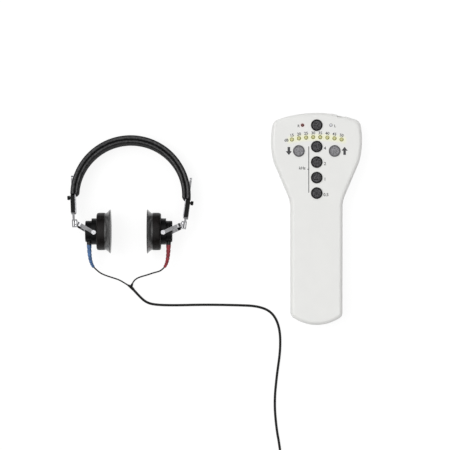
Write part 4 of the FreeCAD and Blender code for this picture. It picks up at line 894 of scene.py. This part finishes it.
reliefSettings = {
    "rootRadius": 0.0029, "tipRadius": 0.0017, "steps": 144, "sides": 32,
    "ribs": 6, "ribDepth": 0.00038, "ribSharpness": 8, "collarEnd": 0.16, "tipStart": 0.95,
    "endWay": (-0.47, -0.66, -0.59), "firstReach": 0.017, "lastReach": 0.008,
}


def makeRelief(side):
    own = reliefSettings
    sign = 1 if side == "right" else -1
    start = reliefRoot(side)
    end = Vector(legRoutes[side][0])
    down = earToRow.to_3x3() @ Vector((0, -1, 0))
    way = Vector((sign * own["endWay"][0], *own["endWay"][1:])).normalized()
    controls = [start, start + down * own["firstReach"], end - way * own["lastReach"], end]
    points = []
    for step in range(own["steps"] + 1):
        share = step / own["steps"]
        rest = 1 - share
        points.append(controls[0] * rest ** 3 + controls[1] * 3 * rest * rest * share
                      + controls[2] * 3 * rest * share * share + controls[3] * share ** 3)

    def radiusAt(share):
        taper = own["rootRadius"] + share * (own["tipRadius"] - own["rootRadius"])
        if share < own["collarEnd"] or share > own["tipStart"]:
            return taper
        along = (share - own["collarEnd"]) / (own["tipStart"] - own["collarEnd"])
        groove = math.sin(along * math.pi * own["ribs"]) ** own["ribSharpness"]
        return taper - own["ribDepth"] * groove

    slot = "relief_red" if side == "right" else "relief_blue"
    piece = addMesh(f"strainRelief_{side}", *tube(points, radiusAt, own["sides"]), slot)
    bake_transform(piece)
    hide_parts(f"strain_relief_{side}")


for side in ("left", "right"):
    makeRelief(side)
print("strain reliefs ready")


# printing on the unit's face

printSettings = {
    "ink": (0.050, 0.050, 0.053), "lift": 0.00004, "thickness": 0.00004, "weight": 0.00010,
    "curveSteps": 4,
    "levels": (15, 20, 25, 30, 35, 40, 45, 50), "levelRise": 0.0048, "levelText": 0.0047,
    "lampRatio": 1.175,                      # a level lamp's width over an ear lamp's
    "pitches": {"button_4khz": "4", "button_2khz": "2", "button_1khz": "1", "button_500hz": "0.5"},
    "pitchShift": (0.0096, -0.0020), "longShift": 0.0012, "pitchText": 0.0050,
    # text, the node it stands beside, the way from that node's middle, and height
    "words": {
        "unitLevel": ("dB", "button_4khz", (-0.0354, 0.0073), 0.0046),
        "unitPitch": ("kHz", "button_2khz", (-0.0170, -0.0071), 0.0047),
        "earRight": ("R", "ear_led_red", (-0.0046, -0.0011), 0.0042),
        "earLeft": ("L", "ear_led_blue", (0.0048, -0.0011), 0.0042)},
    "lineX": -0.0093, "lineTop": 0.0846, "lineLow": 0.0306, "lineWidth": 0.0009,
    "tickY": 0.0580, "tickReach": 0.0016,
    "arrowOut": 0.0116,
    "arrow": [(-0.0015, -0.0046), (0.0015, -0.0046), (0.0015, 0.0003), (0.0036, 0.0003),
              (0.0, 0.0048), (-0.0036, 0.0003), (-0.0015, 0.0003)],
    "arrowKeys": {"arrowDown": ("button_level_down", -1), "arrowUp": ("button_level_up", 1)},
}
ink = mouldedFinish("printInk", printSettings["ink"], roughness=0.5, grain=1500.0, depth=0.00001)


def addPrint(name, mesh):
    piece = bpy.data.objects.new(name, mesh)
    bpy.context.scene.collection.objects.link(piece)
    dress(piece, "key_black", ink)
    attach(piece, "control_unit")


def faceHeight():
    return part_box("front_housing")[1].z + printSettings["lift"]


def addText(name, text, x, y, height, turn=0.0):
    data = bpy.data.curves.new(name, "FONT")
    data.body = text
    data.size = height
    data.align_x, data.align_y = "CENTER", "CENTER"
    data.extrude = printSettings["thickness"] / 2
    data.offset = printSettings["weight"]
    data.resolution_u = printSettings["curveSteps"]
    letters = bpy.data.objects.new(name, data)
    bpy.context.scene.collection.objects.link(letters)
    graph = bpy.context.evaluated_depsgraph_get()
    mesh = bpy.data.meshes.new_from_object(letters.evaluated_get(graph))
    mesh.transform(Matrix.Translation((x, y, faceHeight())) @ Matrix.Rotation(turn, 4, "Z"))
    bpy.data.objects.remove(letters)
    addPrint(name, mesh)


def addWord(name):
    text, node, (shiftX, shiftY), height = printSettings["words"][name]
    place = centerOf(node)
    addText(name, text, place.x + shiftX, place.y + shiftY, height)


def addShape(name, outline):
    # a flat printed shape with a hair of thickness
    count, half = len(outline), printSettings["thickness"] / 2
    vertices = [(x, y, faceHeight() + z) for z in (-half, half) for x, y in outline]
    faces = [tuple(reversed(range(count))), tuple(range(count, 2 * count))]
    faces += [(i, (i + 1) % count, count + (i + 1) % count, count + i) for i in range(count)]
    mesh = bpy.data.meshes.new(name)
    mesh.from_pydata(vertices, [], faces)
    addPrint(name, mesh)


def addBar(name, left, low, right, high):
    addShape(name, [(left, low), (right, low), (right, high), (left, high)])


def printLevels():
    # one number above each lamp of the row, turned with its arc
    own = printSettings
    low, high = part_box("level_leds")
    lampLow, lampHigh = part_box("ear_led_red")
    lampWidth = (lampHigh.x - lampLow.x) * own["lampRatio"]
    last = len(own["levels"]) - 1
    spacing = (high.x - low.x - lampWidth) / last
    radius = caseSettings["rowRadius"]
    for index, level in enumerate(own["levels"]):
        x = (index - last / 2) * spacing
        turn = -math.asin(x / radius)
        y = caseSettings["rowTopY"] - radius * (1 - math.cos(turn)) + own["levelRise"]
        addText(f"level{level}", str(level), x, y, own["levelText"], turn)
    addWord("unitLevel")


def printPitches():
    own = printSettings
    shiftX, shiftY = own["pitchShift"]
    for node, text in own["pitches"].items():
        key = centerOf(node)
        wide = own["longShift"] if len(text) > 1 else 0.0
        name = f"pitch{text.replace('.', '_')}"
        addText(name, text, key.x + shiftX + wide, key.y + shiftY, own["pitchText"])
    addWord("unitPitch")


def printSigns():
    # a letter beside each ear lamp, the line with its tick, and an arrow beside each level key
    own = printSettings
    addWord("earRight")
    addWord("earLeft")
    lineX, half, tick = own["lineX"], own["lineWidth"] / 2, own["tickY"]
    addBar("pitchLine", lineX - half, own["lineLow"], lineX + half, own["lineTop"])
    addBar("pitchTick", lineX - own["tickReach"], tick - half, lineX - half, tick + half)
    for name, (node, side) in own["arrowKeys"].items():
        key = centerOf(node)
        addShape(name, [(key.x + side * (own["arrowOut"] + x), key.y + side * y)
                        for x, y in own["arrow"]])


printLevels()
printPitches()
printSigns()
print("printing ready")
